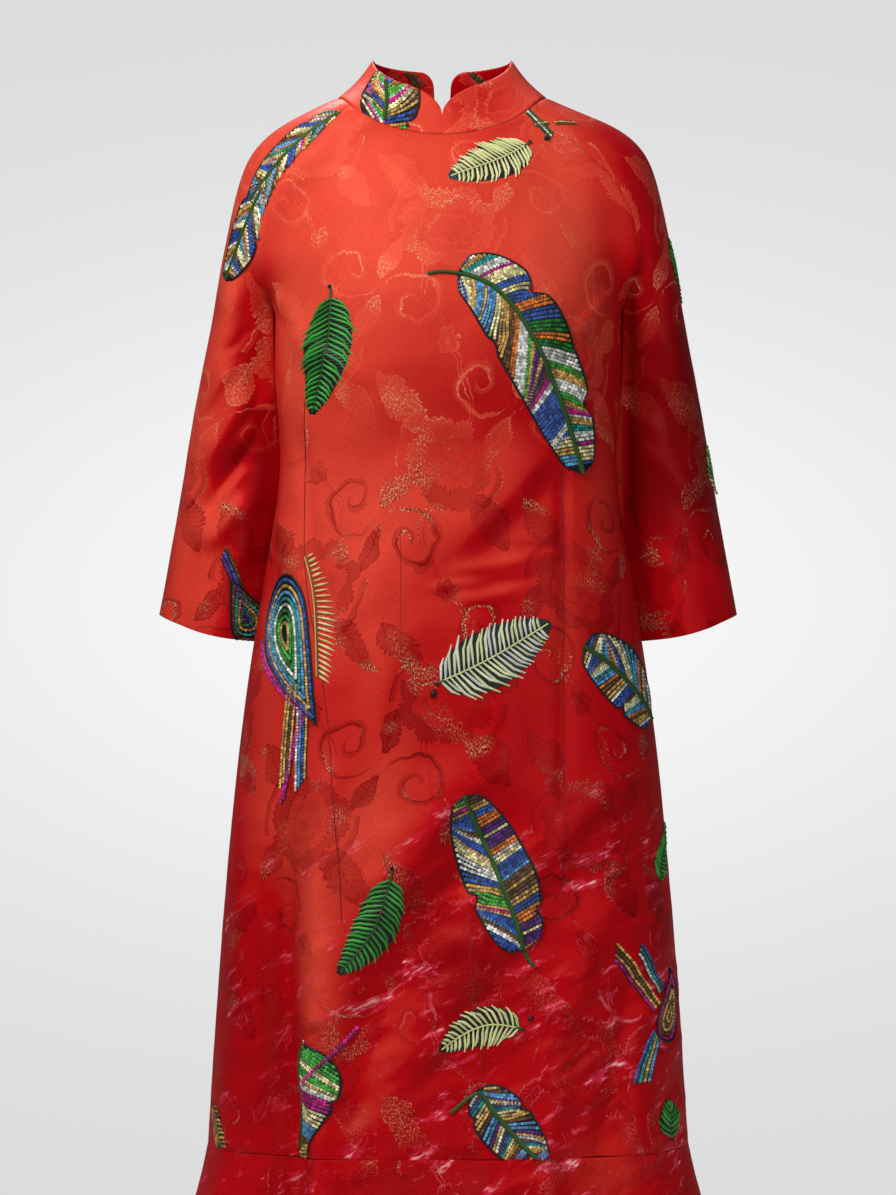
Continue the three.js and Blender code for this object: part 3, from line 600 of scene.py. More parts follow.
# A smooth fine grid through a coarse one, which keeps its side edges' corner at one row. Gives the fine rows,
# and the fine row and column that fall on that corner and on the middle.
def fineGrid(rows, cornerRow=None):
    rowAt, columnAt = stations(rows, 0), stations(rows, 1)

    def spread(grid, at):
        weights = naturalSpline(np.arange(len(grid)), np.eye(len(grid)))(at)
        return np.einsum("ri,ick->rck", weights, grid)

    across = spread(rows.swapaxes(0, 1), columnAt).swapaxes(0, 1)
    fine = spread(across, rowAt)
    if cornerRow:
        upper = rowAt <= cornerRow
        split = np.concatenate([spread(across[:cornerRow + 1], rowAt[upper]),
                                spread(across[cornerRow:], rowAt[~upper] - cornerRow)])
        middle = (rows.shape[1] - 1) / 2
        edge = smoothstep(np.abs(columnAt - middle) / middle, weave["cornerFrom"], 1)[None, :, None]
        fine = mix(fine, split, edge)
    zeroRow = int(np.argmin(np.abs(rowAt - cornerRow))) if cornerRow else 0
    return fine, zeroRow, len(columnAt) // 2


def normalsOf(p, facing):
    return unit(np.cross(np.gradient(p, axis=1), np.gradient(p, axis=0))) * facing


# The flat cut of a piece: its greatest width and length, and its area, in metres.
def cutSize(p):
    across, down = walked(p)
    crossed = np.cross(p[1:, 1:] - p[:-1, :-1], p[1:, :-1] - p[:-1, 1:])
    area = np.linalg.norm(crossed, axis=-1).sum() / 2
    return float(across.max()) * 0.001, float(down.max()) * 0.001, float(area) * 1e-6


cloths = {}


# Keeps a cut piece: its points, its way out, its flat cut, and where each point lies on the flat cloth, right and
# up as seen, measured on the calm points, which are the same cloth before its folds.
def keepCloth(name, points, calm, facing, zeroRow, zeroColumn):
    p = leaning(points)
    across, down = walked(calm)
    cloths[name] = {
        "points": p, "out": normalsOf(p, facing), "facing": facing, "cut": cutSize(points),
        "right": (across - across[:, zeroColumn:zeroColumn + 1]) * -facing, "up": down[zeroRow] - down,
    }


# Moves cloth out by its folds, holds it still at its seams, and rolls it in where it is sewn.
def dressed(fine, facing, lift, seams=()):
    across, down = walked(fine)
    side, groove = np.minimum(across, across[:, -1:] - across), folds["groove"]
    out = normalsOf(fine, facing)
    start, full, least = folds["profile"]
    calm = smoothstep(side, 0, folds["edgeCalm"]) * mix(least, 1, smoothstep(np.abs(out[..., 1]), start, full))
    sewn = np.exp(-(side / groove["reach"]) ** 2)
    if "top" in seams:
        calm = calm * smoothstep(down, 0, folds["edgeCalm"])
        sewn = np.maximum(sewn, np.exp(-(down / groove["reach"]) ** 2))
    if "bottom" in seams:
        sewn = np.maximum(sewn, 0.5 * np.exp(-((down[-1:] - down) / groove["reach"]) ** 2))
    return fine + out * (lift * calm - groove["depth"] * sewn)[..., None]


neckRidge = {"below": 14.5, "from": -46, "to": 27, "ends": 6, "height": 0.7, "reach": 1.8}


# A low ridge across the front, just below the neck seam.
def withNeckRidge(p, fine):
    ridge, x, down = neckRidge, fine[..., 0], list(walked(fine))[1]
    inFront = smoothstep(x, ridge["from"] - ridge["ends"], ridge["from"])
    inFront = inFront * (1 - smoothstep(x, ridge["to"], ridge["to"] + ridge["ends"]))
    height = ridge["height"] * inFront * np.exp(-((down - ridge["below"]) / ridge["reach"]) ** 2)
    return p + outward(fine) * height[..., None]


def buildPanels():
    for name, grid, facing, side, seed in (("front_cloth", frontGrid(), -1, "front", 11),
                                           ("back_left_cloth", backGrid(1), 1, "back", 21),
                                           ("back_right_cloth", backGrid(-1), -1, "back", 21)):
        calm, zeroRow, middle = fineGrid(grid, body["raglanRows"])
        fine = withLargeFolds(calm, side)
        lift = foldLift(fine, folds[side]) + livelyLift(fine, seed)
        points = dressed(fine, facing, lift, ("top", "bottom"))
        if side == "front":
            keepCloth(name, withNeckRidge(points, fine), calm, facing, zeroRow, middle)
        else:
            keepCloth(name, points, calm, facing, zeroRow, 0)


tuck = {"from": 196, "full": 216, "near": 4, "far": 12, "depth": 0.9}
# How far round to the back a sleeve's folds fade, how much of them is left there, and its small unevenness as
# heights and sizes.
sleeveFolds = {"turns": (-0.1, 0.35), "behind": 0.8, "soft": ((1.3, 55), (0.5, 20))}


# The sleeve lies close against the body below the underarm, with no light between them.
def tucked(p):
    distance = torsoDistance(p)
    hold = smoothstep(-p[..., 2], tuck["from"], tuck["full"]) * (1 - smoothstep(distance, tuck["near"], tuck["far"]))
    return p - unit(slopeOf(torsoDistance, p)) * (hold * np.maximum(distance + tuck["depth"], 0))[..., None]


def buildSleeves():
    for side, name, table, seed in ((1, "sleeve_left_cloth", "sleeveLeft", 31),
                                    (-1, "sleeve_right_cloth", "sleeveRight", 41)):
        fine, zeroRow, middle = fineGrid(sleeveGrid(side), sleeve["raglanRows"])
        towards, turns = normalsOf(fine, -side)[..., 1], sleeveFolds["turns"]
        showing = smoothstep(-towards, *turns) + sleeveFolds["behind"] * smoothstep(towards, *turns)
        lift = foldLift(fine, folds[table]) * showing
        around = np.arange(fine.shape[1])[None, :] * weave["step"]
        for k, (height, size) in enumerate(sleeveFolds["soft"]):
            lift += height * softNoise(around, fine[..., 2], size, seed + k)
        keepCloth(name, tucked(dressed(fine, -side, lift, ("top",))), fine, -side, zeroRow, middle)


def buildCollar():
    for side, name in ((1, "collar_left_cloth"), (-1, "collar_right_cloth")):
        fine = collarGrid(side)
        keepCloth(name, fine, fine, -side, len(fine) - 1, 0)


flounceFolds = {"lets": 0.5, "gains": 0.6, "over": (0.1, 0.6)}


# The flounce takes its seam's folds from the panel above, and lets them go as it falls.
def buildFlounce():
    for facing, name, side, seed in ((-1, "flounce_front_cloth", "front", 11), (1, "flounce_back_cloth", "back", 21)):
        fine, zeroRow, middle = fineGrid(flounceGrid(facing, side))
        drop = (body["flounceSeamZ"] - fine[..., 2]) / (body["flounceSeamZ"] - body["hemZ"])
        lift = foldLift(np.broadcast_to(fine[:1], fine.shape), folds[side]) * (1 - flounceFolds["lets"] * drop)
        lift += livelyLift(fine, seed) * (1 + flounceFolds["gains"] * smoothstep(drop, *flounceFolds["over"]))
        keepCloth(name, dressed(fine, facing, lift), fine, facing, zeroRow, middle)


for build in (buildPanels, buildSleeves, buildCollar, buildFlounce):
    build()
print("cloth shaped:", ", ".join(cloths))


# A socket that takes arithmetic: each operation adds its math node.
class Wire:
    def __init__(self, socket):
        self.socket, self.tree = socket, socket.id_data

    def calc(self, operation, *others, clamp=False):
        made = self.tree.nodes.new("ShaderNodeMath")
        made.operation, made.use_clamp = operation, clamp
        for slot, value in zip(made.inputs, (self, *others)):
            plug(value, slot)
        return Wire(made.outputs[0])

    def to(self, slope, offset=0, clamp=False):
        return self.calc("MULTIPLY_ADD", slope, offset, clamp=clamp)

    def __rsub__(self, other):
        return self.to(-1, other)


for method, operation in {
    "__add__": "ADD", "__radd__": "ADD", "__sub__": "SUBTRACT", "__mul__": "MULTIPLY", "__rmul__": "MULTIPLY",
    "__truediv__": "DIVIDE", "__abs__": "ABSOLUTE", "sine": "SINE", "fraction": "FRACT", "power": "POWER",
    "atLeast": "MAXIMUM", "atMost": "MINIMUM",
}.items():
    setattr(Wire, method, partialmethod(Wire.calc, operation))


def plug(value, slot):
    if isinstance(value, Wire):
        value.tree.links.new(value.socket, slot)
    else:
        slot.default_value = value


# Adds a node, plugs in its inputs by name or number, and gives one of its outputs.
def node(tree, kind, inputs=None, output=0, **settings):
    made = tree.nodes.new("ShaderNode" + kind)
    for name, value in settings.items():
        setattr(made, name, value)
    for slot, value in (inputs or {}).items():
        plug(value, made.inputs[slot])
    return Wire(made.outputs[output])


def newMaterial(name):
    material = bpy.data.materials.new(name)
    material.use_nodes = True
    return material, material.node_tree


def finishWith(material, inputs):
    shader = material.node_tree.nodes["Principled BSDF"]
    for name, value in inputs.items():
        plug(value, shader.inputs[name])
    print(material.name, len(material.node_tree.nodes), "nodes")


def noise(place, scale, detail=2, rough=0.5):
    return node(place.tree, "TexNoise", {"Vector": place, "Scale": scale, "Detail": detail, "Roughness": rough})


def triple(x, y, z=0.0):
    return node(x.tree, "CombineXYZ", {"X": x, "Y": y, "Z": z})


def mixColour(a, b, share):
    return node(share.tree, "Mix", {6: a, 7: b, 0: share}, 2, data_type="RGBA")


def within(distance, edge, blur=0.7):  # 1 where a distance is inside an edge, with a soft border
    return (edge - distance).to(1 / blur, 0.5, clamp=True)


def alongLine(distance, halfWidth, blur=0.7):
    return within(abs(distance), halfWidth, blur)


def polar(x, y):
    return (x * x + y * y).calc("SQRT"), y.calc("ARCTAN2", x)


damask = {  # millimetres on the flat cloth
    "pitch": 140, "repeat": 244, "line": 0.7,
    "wander": [(20, 0.011, 1, (0.0, 70.0)), (8, 0.045, 2, (30.0, 37.0))],  # reach, then the noise's scale and detail
    "petals": [(46, 0.80, 4, 0.3), (31, 0.76, 3, 0.9), (18, 0.74, 2.5, 0.2)],  # reach, least share, lobes, turn
    "roundness": 0.55, "serration": (1.5, 44), "hatch": (60, 0.18), "heart": (6.5, 0.3),
    "scroll": {"x": 37, "y": 80, "reach": 33, "pitch": 25, "hollow": 2.5, "line": (0.05, 0.5), "shade": 2.8},
    "ring": {"radius": 62, "wave": 7, "lobes": 1.5, "turn": 0.9, "line": 0.8, "shade": 2.6},
    "stem": {"sway": 25, "gap": 2.2, "line": 0.55},
    "leaves": [(-44, 60, 2.2, 36, 15), (56, 30, 1.1, 24, 10)],  # x, y, turn, length, breadth
    "leaf": {"veins": 6, "lean": -0.11, "veinLine": 0.4, "notchLean": -0.06, "notch": -0.22, "fill": 0.85},
    "blossom": {"reach": 13, "least": 0.66, "lobes": 2.5, "heart": 2.6, "fill": 0.7},
}


def leafShape(x, y, atX, atY, angle, length, breadth):
    leaf = damask["leaf"]
    p, q = turned(x - atX, y - atY, angle)
    p, q = p / length, abs(q)
    notch = (p * leaf["veins"] + q * leaf["notchLean"]).fraction().to(leaf["notch"], 1.08)
    half = (1 - p * p).atLeast(0) * breadth * notch
    inside = within(q, half)
    rows = (p * leaf["veins"] + q * leaf["lean"]).fraction() - 0.5
    veins = alongLine(rows * 5, leaf["veinLine"]) * within(q, half * 0.8)
    edge = alongLine(q - half, damask["line"]) * within(abs(p), 0.98, 0.1)
    return inside, (edge + (veins + alongLine(q, 0.5) * inside) * 0.7).atMost(1)


# The woven pattern: peonies on a half-drop lattice, with stems, scrolls, leaves and small blossoms between.
def damaskPattern(u, v):
    pitch, repeat, line = (damask[key] for key in ("pitch", "repeat", "line"))
    straight = u, v
    for reach, scale, detail, depths in damask["wander"]:
        drifts = [noise(triple(*straight, depth), scale, detail) - 0.5 for depth in depths]
        u, v = u + drifts[0] * reach * 2, v + drifts[1] * reach * 2
    column = (u / pitch).calc("FLOOR")
    x = u - column * pitch - pitch / 2
    v = v + column.calc("FLOORED_MODULO", 2.0) * (repeat / 2)
    y = (v / repeat).fraction() * repeat - repeat / 2
    x, y = x * y.calc("SIGN"), abs(y)

    radius, angle = polar(x, y)
    size, count = damask["serration"]
    ragged = (angle * count).sine() * size
    flower = damask["petals"][0][0]
    tone = lines = rim = None
    for reach, least, lobes, turn in damask["petals"]:
        swell = abs((angle * lobes + turn).sine()).power(damask["roundness"])
        edge = swell.to(reach * (1 - least), reach * least) + ragged
        fill, rimLine = within(radius, edge), alongLine(radius - edge, line)
        tone = abs(tone - fill * 0.5) if tone else fill * 0.75
        lines = lines.atLeast(rimLine) if lines else rimLine
        rim = rim or fill
    (count, hatched), (reach, heart) = damask["hatch"], damask["heart"]
    hatch = (angle * count).sine().to(0.5, 0.5) * rim * (radius / flower).power(2.0)
    tone = tone + hatch * hatched + within(radius, reach) * heart

    scroll = damask["scroll"]
    curl, turn = polar(x - scroll["x"], y - scroll["y"])
    coil = ((curl / scroll["pitch"] - turn / (2 * math.pi)).fraction() - 0.5) * scroll["pitch"]
    inCurl = within(curl, scroll["reach"]) * within(scroll["hollow"] - curl, 0.0)
    widens, least = scroll["line"]
    lines = lines.atLeast(within(abs(coil), curl * widens + least) * inCurl)
    shade = within(abs(coil - scroll["shade"]), scroll["shade"]) * inCurl

    ring = damask["ring"]
    arc = radius - (angle * ring["lobes"]).sine() * ring["wave"] - ring["radius"]
    swept = within((angle + ring["turn"]).sine(), 0.1, 0.3)
    lines = lines.atLeast(alongLine(arc, ring["line"]) * swept)
    shade = shade.atLeast(within(abs(arc + ring["shade"]), ring["shade"]) * swept)

    stem = damask["stem"]
    off = x - (y * (math.pi / repeat * 2)).sine() * stem["sway"]
    beyond = within(flower - radius, 0.0)
    lines = lines.atLeast(alongLine(abs(off) - stem["gap"], stem["line"]) * beyond)
    for leaf in damask["leaves"]:
        fill, veins = leafShape(x, y, *leaf)
        tone, lines = tone.atLeast(fill * damask["leaf"]["fill"]), lines.atLeast(veins * beyond)
    blossom = damask["blossom"]
    small, around = polar(x, repeat / 2 - y)
    reach, least = blossom["reach"], blossom["least"]
    edge = abs((around * blossom["lobes"]).sine()).to(reach * (1 - least), reach * least)
    tone = tone.atLeast(within(small, edge) * blossom["fill"])
    lines = lines.atLeast(alongLine(small - edge, line)).atLeast(within(small, blossom["heart"]))
    return tone.atMost(1), lines, shade


unevenness = {  # the cloth's noises: depth, scale, detail and roughness
    "patch": (0.0, 0.016, 2, 0.5),  # lighter and darker areas
    "mood": (17.0, 0.013, 1, 0.5),  # where the figures turn light or dark
    "clear": (51.0, 0.009, 2, 0.6),  # where the figures show
    "cluster": (33.0, 0.02, 1, 0.5),  # where the gold yarn shows
}


def brocadeMaterial(name, finish):
    material, tree = newMaterial(name)
    flat = node(tree, "SeparateXYZ", {"Vector": node(tree, "UVMap", uv_map="flat")}).socket.node.outputs
    u, v = (Wire(flat[k]).to(1000, finish["offset"][k]) for k in (0, 1))
    paintedLightAndShade, tone, crumple = (node(tree, "Attribute", output="Fac", attribute_name=kept)
                             for kept in ("paintedLightAndShade", "tone", "crumple"))
    figure, lines, shade = damaskPattern(u, v)
    patch, mood, clear, cluster = (noise(triple(u, v, depth), *look) for depth, *look in unevenness.values())
    slub = noise(triple(u * 0.9, v * 0.22), 1.0, 1) + noise(triple(u * 0.2, v * 0.9, 9.0), 1.0, 1) - 1

    # Painted light and shade: the ground is painted from deep red to warm red where light falls and towards dark red
    # in painted shade, and the figures on it are painted from lighter to darker by height, a little at random.
    colour = mixColour(finish["deep"], finish["paintedLitRed"], paintedLightAndShade.atLeast(0.0))
    colour = mixColour(colour, finish["shadow"], (paintedLightAndShade * -1).atLeast(0.0))
    mood = tone + mood.to(1.6, -0.8)
    bright = mood.atLeast(0.0).atMost(1) * paintedLightAndShade.to(0.9, 1.0, clamp=True)
    dark = (mood * -1).atLeast(0.0).atMost(1)
    clear = clear.to(3.2, -1.05, clamp=True).to(0.45, 0.55)
    figured = (figure * 0.8 + shade * 0.5).atMost(1) * clear
    for tint, mostly in (("lit", bright), ("shadow", dark)):
        ofFigure, ofLines = finish["shows"][tint]
        colour = mixColour(colour, finish[tint], (figured * ofFigure + lines * clear * ofLines) * mostly)

    # Painted glints: angular patches of painted pink light on the crumpled satin, each with a painted pale core, and
    # painted glints along the figures' lines.
    along, over = turned(u, v, finish["strokes"]["turn"])
    broad, fine = finish["strokes"]["broad"], finish["strokes"]["fine"]
    stroke = noise(triple(along * broad[0], over * broad[1]), 1.0, 4, 0.62)
    edge = stroke + noise(triple(along * fine[0], over * fine[1]), 1.0, 1).to(fine[2], -fine[2] / 2)
    shine = patch.to(7.0, -3.15, clamp=True) * crumple
    paintedPinkGlint, streak, spark = (noisy.to(steep, -start, clamp=True) * shine
                           for noisy, (steep, start) in zip((stroke, edge, edge), finish["strokes"]["starts"]))
    paintedLineGlint = lines * stroke.to(8, -3.9, clamp=True) * crumple
    colour = mixColour(colour, finish["paintedPinkGlint"], (paintedPinkGlint * 0.75 + paintedLineGlint * 0.5).atMost(1))
    colour = mixColour(colour, finish["glint"], (streak + paintedLineGlint * 0.35).atMost(1))
    colour = mixColour(colour, finish["spark"], spark)

    # Gold yarn shows in specks, in some stretches of the figures and lines, fewer where the satin is crumpled and
    # dimmed where shade is painted.
    speck = noise(triple(u * 1.0 + v * 0.35, v * 0.32 - u * 0.1), 1.0, 1).to(9, -4.7, clamp=True)
    speck = speck * cluster.to(8, -4.3, clamp=True)
    gilt = speck * (figure * 0.6 + lines).atMost(1) * crumple.to(-0.75, 1.0) * paintedLightAndShade.to(0.8, 1.0, clamp=True)
    colour = mixColour(colour, finish["gilt"], gilt)

    value = slub * finish["slub"] + patch * 0.24 + 0.88
    height = figure * 0.35 + lines * 0.25 + slub * 0.55 + gilt * 0.3
    finishWith(material, {
        "Base Color": node(tree, "HueSaturation", {"Color": colour, "Value": value}),
        "Roughness": finish["roughness"] - figure * 0.1 - gilt * 0.2 - streak * 0.15,
        "Normal": node(tree, "Bump", {"Height": height, "Strength": finish["relief"], "Distance": 0.0006}),
        "Sheen Weight": finish["sheen"], "Sheen Roughness": 0.45, "Sheen Tint": finish["sheenTint"],
        "Specular IOR Level": finish["specular"], "Specular Tint": finish["specularTint"],
    })
    return material


cloth = {
    # Colours: the satin's own deep red, painted light in the warm red, the lit figures and the pink and pale glints,
    # and painted shade in the shadow red.
    "offset": (70, 40), "deep": (0.53, 0.001, 0.006, 1), "paintedLitRed": (0.82, 0.072, 0.040, 1),
    "lit": (0.95, 0.14, 0.07, 1), "shadow": (0.22, 0.0, 0.003, 1), "glint": (0.98, 0.22, 0.28, 1),
    "paintedPinkGlint": (0.80, 0.030, 0.085, 1), "spark": (1.0, 0.66, 0.58, 1),
    "gilt": (0.85, 0.55, 0.30, 1), "roughness": 0.46, "relief": 0.5, "slub": 0.34,
    "shows": {"lit": (0.36, 0.42), "shadow": (0.86, 0.6)},  # how strongly the figures and their lines show
    # The painted glints on the crumpled satin.
    "strokes": {  # the glints' slant, the noise that makes them, and how steeply and from where each colour starts
        "turn": 0.5, "broad": (0.020, 0.056), "fine": (0.07, 0.34, 0.34),
        "starts": ((44, 24.4), (50, 31.6), (60, 40.8)),
    },
    "sheen": 0.02, "sheenTint": (1, 0.3, 0.25, 1), "specular": 0.35, "specularTint": (1, 0.2, 0.15, 1),
}
brocade = brocadeMaterial("brocade", cloth)
collarBrocade = brocadeMaterial("collarBrocade", dict(cloth, offset=(0, 90)))


# Painted light and shade: the satin is painted warm and bright where it turns to the window on its left, and deep red
# elsewhere and low down.
sheen = {
    "from": (-0.5, -0.72, 0.48), "high": (0.43, 1.0), "low": (0.8, 1.02), "between": (330, 720), "lowShare": 0.4,
    # Painted light on the chest, and painted shade on the far arm, which turns away from the light.
    "chest": {"height": (-290, -190), "side": (120, 170), "glow": 0.72},
    "farArm": {"side": (176, 192), "height": (-640, -600), "dark": -0.85, "starts": (130, 250), "ends": (400, 500)},
    # The figures are painted lighter high up and darker lower down, as the light falls on them, and partly back near
    # the hem.
    "figures": [(290, 430, -1.95), (760, 900, 0.55)],  # from light to dark, and partly back, on the way down
    "limits": (-0.9, 1),
    # Painted highlights where broad folds catch the light, and painted shade where the amount is negative.
    "catches": [  # where a broad fold catches the light: x, height, half width, half height, lean, how much
        (-82, -738, 34, 92, -0.33, 0.8), (-186, -690, 26, 110, 0.05, 0.3), (-192, -960, 50, 150, 0, -0.55),
        (-134, -902, 24, 78, 0, 0.8), (-78, -500, 40, 120, 0, 0.2), (60, -560, 26, 90, 0.1, -0.25),
        (5, -880, 56, 62, 0, -0.6), (-202, -400, 26, 110, 0.1, -0.6), (0, -1190, 330, 90, 0, -0.8),
        (154, -1105, 60, 40, 0, 0.5), (38, -8, 36, 32, 0, -0.8), (114, -140, 40, 50, 0, 0.65),
        (154, -231, 20, 40, 0, 0.3), (154, -414, 24, 70, 0, 0.3), (114, -535, 40, 60, 0, 0.25),
        (-168, -248, 22, 56, 0, 0.7), (-235, -353, 26, 50, 0, -0.25), (-150, -775, 32, 60, 0, 0.5),
    ],
}


# The painted light and shade at each point of the cloth, its figures' painted tone, and how crumpled it is there.
def clothTones(p, out):
    x, z = p[..., 0], p[..., 2]
    low = smoothstep(-z, *sheen["between"])
    edges = [mix(a, b, low) for a, b in zip(sheen["high"], sheen["low"])]
    glow = smoothstep(out @ unit(np.array(sheen["from"])), *edges) * mix(1, sheen["lowShare"], low)
    front = smoothstep(-out[..., 1], 0, 0.5)
    chest, arm = sheen["chest"], sheen["farArm"]
    onChest = smoothstep(z, *chest["height"]) * (1 - smoothstep(np.abs(x), *chest["side"])) * front
    glow = np.maximum(glow, chest["glow"] * onChest)
    for atX, atZ, across, down, lean, amount in sheen["catches"]:
        off = ((x - atX + (z - atZ) * lean) / across) ** 2 + ((z - atZ) / down) ** 2
        glow = glow + amount * np.exp(-off) * front
    dark = arm["dark"] * smoothstep(-z, *arm["starts"]) * (1 - smoothstep(-z, *arm["ends"]))
    onArm = smoothstep(x, *arm["side"]) * smoothstep(z, *arm["height"])
    tone = 1 + sum(amount * smoothstep(-z, start, end) for start, end, amount in sheen["figures"])
    return {"paintedLightAndShade": np.clip(mix(glow, dark, onArm), *sheen["limits"]), "tone": tone, "crumple": crumpled(p)}


def flatOf(cloth):
    return np.stack([cloth["right"], cloth["up"]], -1)


# A smooth piece from points in millimetres, with values kept at each point.
def addPiece(name, points, faces, material, kept=()):
    mesh = bpy.data.meshes.new(name)
    mesh.from_pydata((points * 0.001).tolist(), [], faces.tolist())
    mesh.polygons.foreach_set("use_smooth", np.ones(len(faces), bool))
    for label, kind, values in kept:
        stored = mesh.attributes.new(label, kind, "POINT")
        stored.data.foreach_set("value" if kind == "FLOAT" else "color", values.ravel().astype(np.float32))
    mesh.materials.append(material)
    piece = bpy.data.objects.new(name, mesh)
    bpy.context.scene.collection.objects.link(piece)
    print(name, sum(len(face) - 2 for face in faces), "triangles")
    return piece


# A closed wall of cloth from the points of its outer side.
def wallOf(name, cloth, thickness, material):
    outer, facing = cloth["points"], cloth["facing"]
    inner = outer - normalsOf(outer, facing) * thickness
    height, width = outer.shape[:2]
    index = np.arange(height * width).reshape(height, width)
    skin = np.stack([index[:-1, :-1], index[:-1, 1:], index[1:, 1:], index[1:, :-1]], -1).reshape(-1, 4)
    rim = np.concatenate([index[0, :], index[1:, -1], index[-1, -2::-1], index[-2:0:-1, 0]])
    after, n = np.roll(rim, -1), height * width
    faces = np.vstack([skin, skin[:, ::-1] + n, np.stack([after, rim, rim + n, after + n], -1)])
    if facing < 0:
        faces = faces[:, ::-1]
    tones = [(label, "FLOAT", np.tile(values.ravel(), 2))
             for label, values in clothTones(outer, cloth["out"]).items()]
    piece = addPiece(name, np.vstack([outer.reshape(-1, 3), inner.reshape(-1, 3)]), faces, material, tones)
    flat = flatOf(cloth).reshape(-1, 2) * 0.001
    layer = piece.data.uv_layers.new(name="flat")
    layer.data.foreach_set("uv", np.vstack([flat, flat])[faces].ravel().astype(np.float32))
    return piece


standsFor = {
    "front_cloth": "front_panel", "back_left_cloth": "back_panel_left", "back_right_cloth": "back_panel_right",
    "sleeve_left_cloth": "sleeve_left", "sleeve_right_cloth": "sleeve_right",
    "collar_left_cloth": "collar_left", "collar_right_cloth": "collar_right",
    "flounce_front_cloth": "flounce_front", "flounce_back_cloth": "flounce_back",
}
pieces = {}
for name, packed in standsFor.items():
    thickness = weave["collarThickness" if "collar" in name else "thickness"]
    piece = pieces[name] = wallOf(name, cloths[name], thickness, collarBrocade if "collar" in name else brocade)
    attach(piece, "root")
    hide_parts(packed)
    "collar_brocade" if "collar" in name else "brocade"


threadColours = {
    "black": (0.006, 0.006, 0.010), "forest": (0.022, 0.085, 0.012), "leaf": (0.010, 0.21, 0.020),
    "lime": (0.06, 0.40, 0.05), "pale": (0.62, 0.72, 0.30), "cream": (0.76, 0.70, 0.38), "white": (0.72, 0.74, 0.70),
    "blue": (0.030, 0.095, 0.38), "sky": (0.10, 0.33, 0.62), "teal": (0.015, 0.30, 0.26), "gold": (0.60, 0.37, 0.09),
    "orange": (0.72, 0.20, 0.02), "magenta": (0.55, 0.008, 0.26), "purple": (0.10, 0.02, 0.22),
    "brown": (0.15, 0.068, 0.022), "maroon": (0.19, 0.001, 0.004), "rust": (0.34, 0.012, 0.012),
    "moss": (0.10, 0.28, 0.05),
}
layers = {"under": 0.2, "fill": 0.45, "over": 0.75, "rib": 1.1}  # how far off the cloth each layer of thread starts


# A strand: its points on the flat cloth, half breadths, thickness, layer and colour.
def strand(points, width, colour, layer="fill", shape=None, thick=0.55):
    points = np.asarray(points, float)
    shape = np.ones(len(points)) if shape is None else np.asarray(shape, float)
    return points, shape * width / 2, shape * width * thick, layers[layer], np.array(colour, float)


def stitch(a, b, width, colour, layer="fill"):
    share = np.array([0, 0.22, 0.7, 1])[:, None]
    points = mix(np.asarray(a, float), np.asarray(b, float), share)
    return strand(points, width, threadColours[colour], layer, (0.5, 1, 0.9, 0.25))


def evenly(points, step):
    points = np.asarray(points, float)
    along = runOf(points)
    return sampled(points, along, np.linspace(0, along[-1], max(2, int(round(along[-1] / step)) + 1)))


# A laid cord, in lengths of a few points so that one may be cut off at a seam.
def cord(points, width, colour="black", layer="over", reach=3.2):
    line = evenly(points, reach)
    return [strand(line[i:i + 4], width, threadColours[colour], layer) for i in range(0, len(line) - 1, 3)]


link = {  # its step, how far its ends and middle stand off the line, how far it overlaps the next one, its dyes
    "step": 1.05, "ends": 0.06, "middle": 0.27, "past": 0.12, "breadth": 0.57, "shape": (0.4, 1, 0.35),
    "thick": 0.75, "dyes": (0.5, 0.8, 1.1, 1.5),
}


# A row of chain stitch: two slanting half links at each step.
def chain(points, width, colour, dye, layer="fill"):
    line, made = evenly(points, width * link["step"]), []
    for a, b in zip(line, line[1:]):
        along = b - a
        aside = np.array([-along[1], along[0]]) / max(np.hypot(*along), 1e-6) * width
        tint = np.array(threadColours[colour]) * dye.choice(link["dyes"])
        for s in (-1, 1):
            off, bulge = aside * s * link["ends"], aside * s * link["middle"]
            half = (a + off, (a + b) / 2 + bulge, b + along * link["past"] + off)
            made.append(strand(half, width * link["breadth"], tint, layer, link["shape"], link["thick"]))
    return made


# A motif's strands, laid with its upward axis along a line on the flat cloth.
def alongCurve(strands, line, reach):
    run = runOf(line)
    ways = unit(np.gradient(line, run, axis=0))

    def onto(points):
        y = points[:, 1] * run[-1] / reach
        way = unit(sampled(ways, run, y))
        past = y - np.clip(y, 0, run[-1])
        return sampled(line, run, y) + way * past[:, None] + way @ ((0, -1), (1, 0)) * points[:, :1]

    return [(onto(points), *rest) for points, *rest in strands]


# Finds where flat places lie on a cloth: the point, the way out, and whether the cloth reaches there.
def layingOn(cloth):
    flat = flatOf(cloth)
    height, width = flat.shape[:2]
    tree = KDTree(height * width)
    for i, (a, b) in enumerate(flat.reshape(-1, 2)):
        tree.insert((a, b, 0), i)
    tree.balance()
    byRow, byColumn = np.gradient(flat, axis=0).reshape(-1, 2), np.gradient(flat, axis=1).reshape(-1, 2)

    def lay(places):
        near = np.array([tree.find((a, b, 0))[1] for a, b in places])
        off = places - flat.reshape(-1, 2)[near]
        r, c = byRow[near], byColumn[near]
        det = r[:, 0] * c[:, 1] - r[:, 1] * c[:, 0]
        det = np.where(np.abs(det) < 1e-6, 1e-6, det)
        down = (off[:, 0] * c[:, 1] - off[:, 1] * c[:, 0]) / det
        over = (r[:, 0] * off[:, 1] - r[:, 1] * off[:, 0]) / det
        row, column = near // width + down, near % width + over
        on = (row > -0.2) & (row < height - 0.8) & (column > -0.2) & (column < width - 0.8)
        on &= (np.abs(down) < 3) & (np.abs(over) < 3)
        row, column = np.clip(row, 0, height - 1.001), np.clip(column, 0, width - 1.001)
        i, j = row.astype(int), column.astype(int)
        s, t = (row - i)[:, None], (column - j)[:, None]

        def between(values):
            return mix(mix(values[i, j], values[i + 1, j], s), mix(values[i, j + 1], values[i + 1, j + 1], s), t)

        return between(cloth["points"]), unit(between(cloth["out"])), on

    return lay


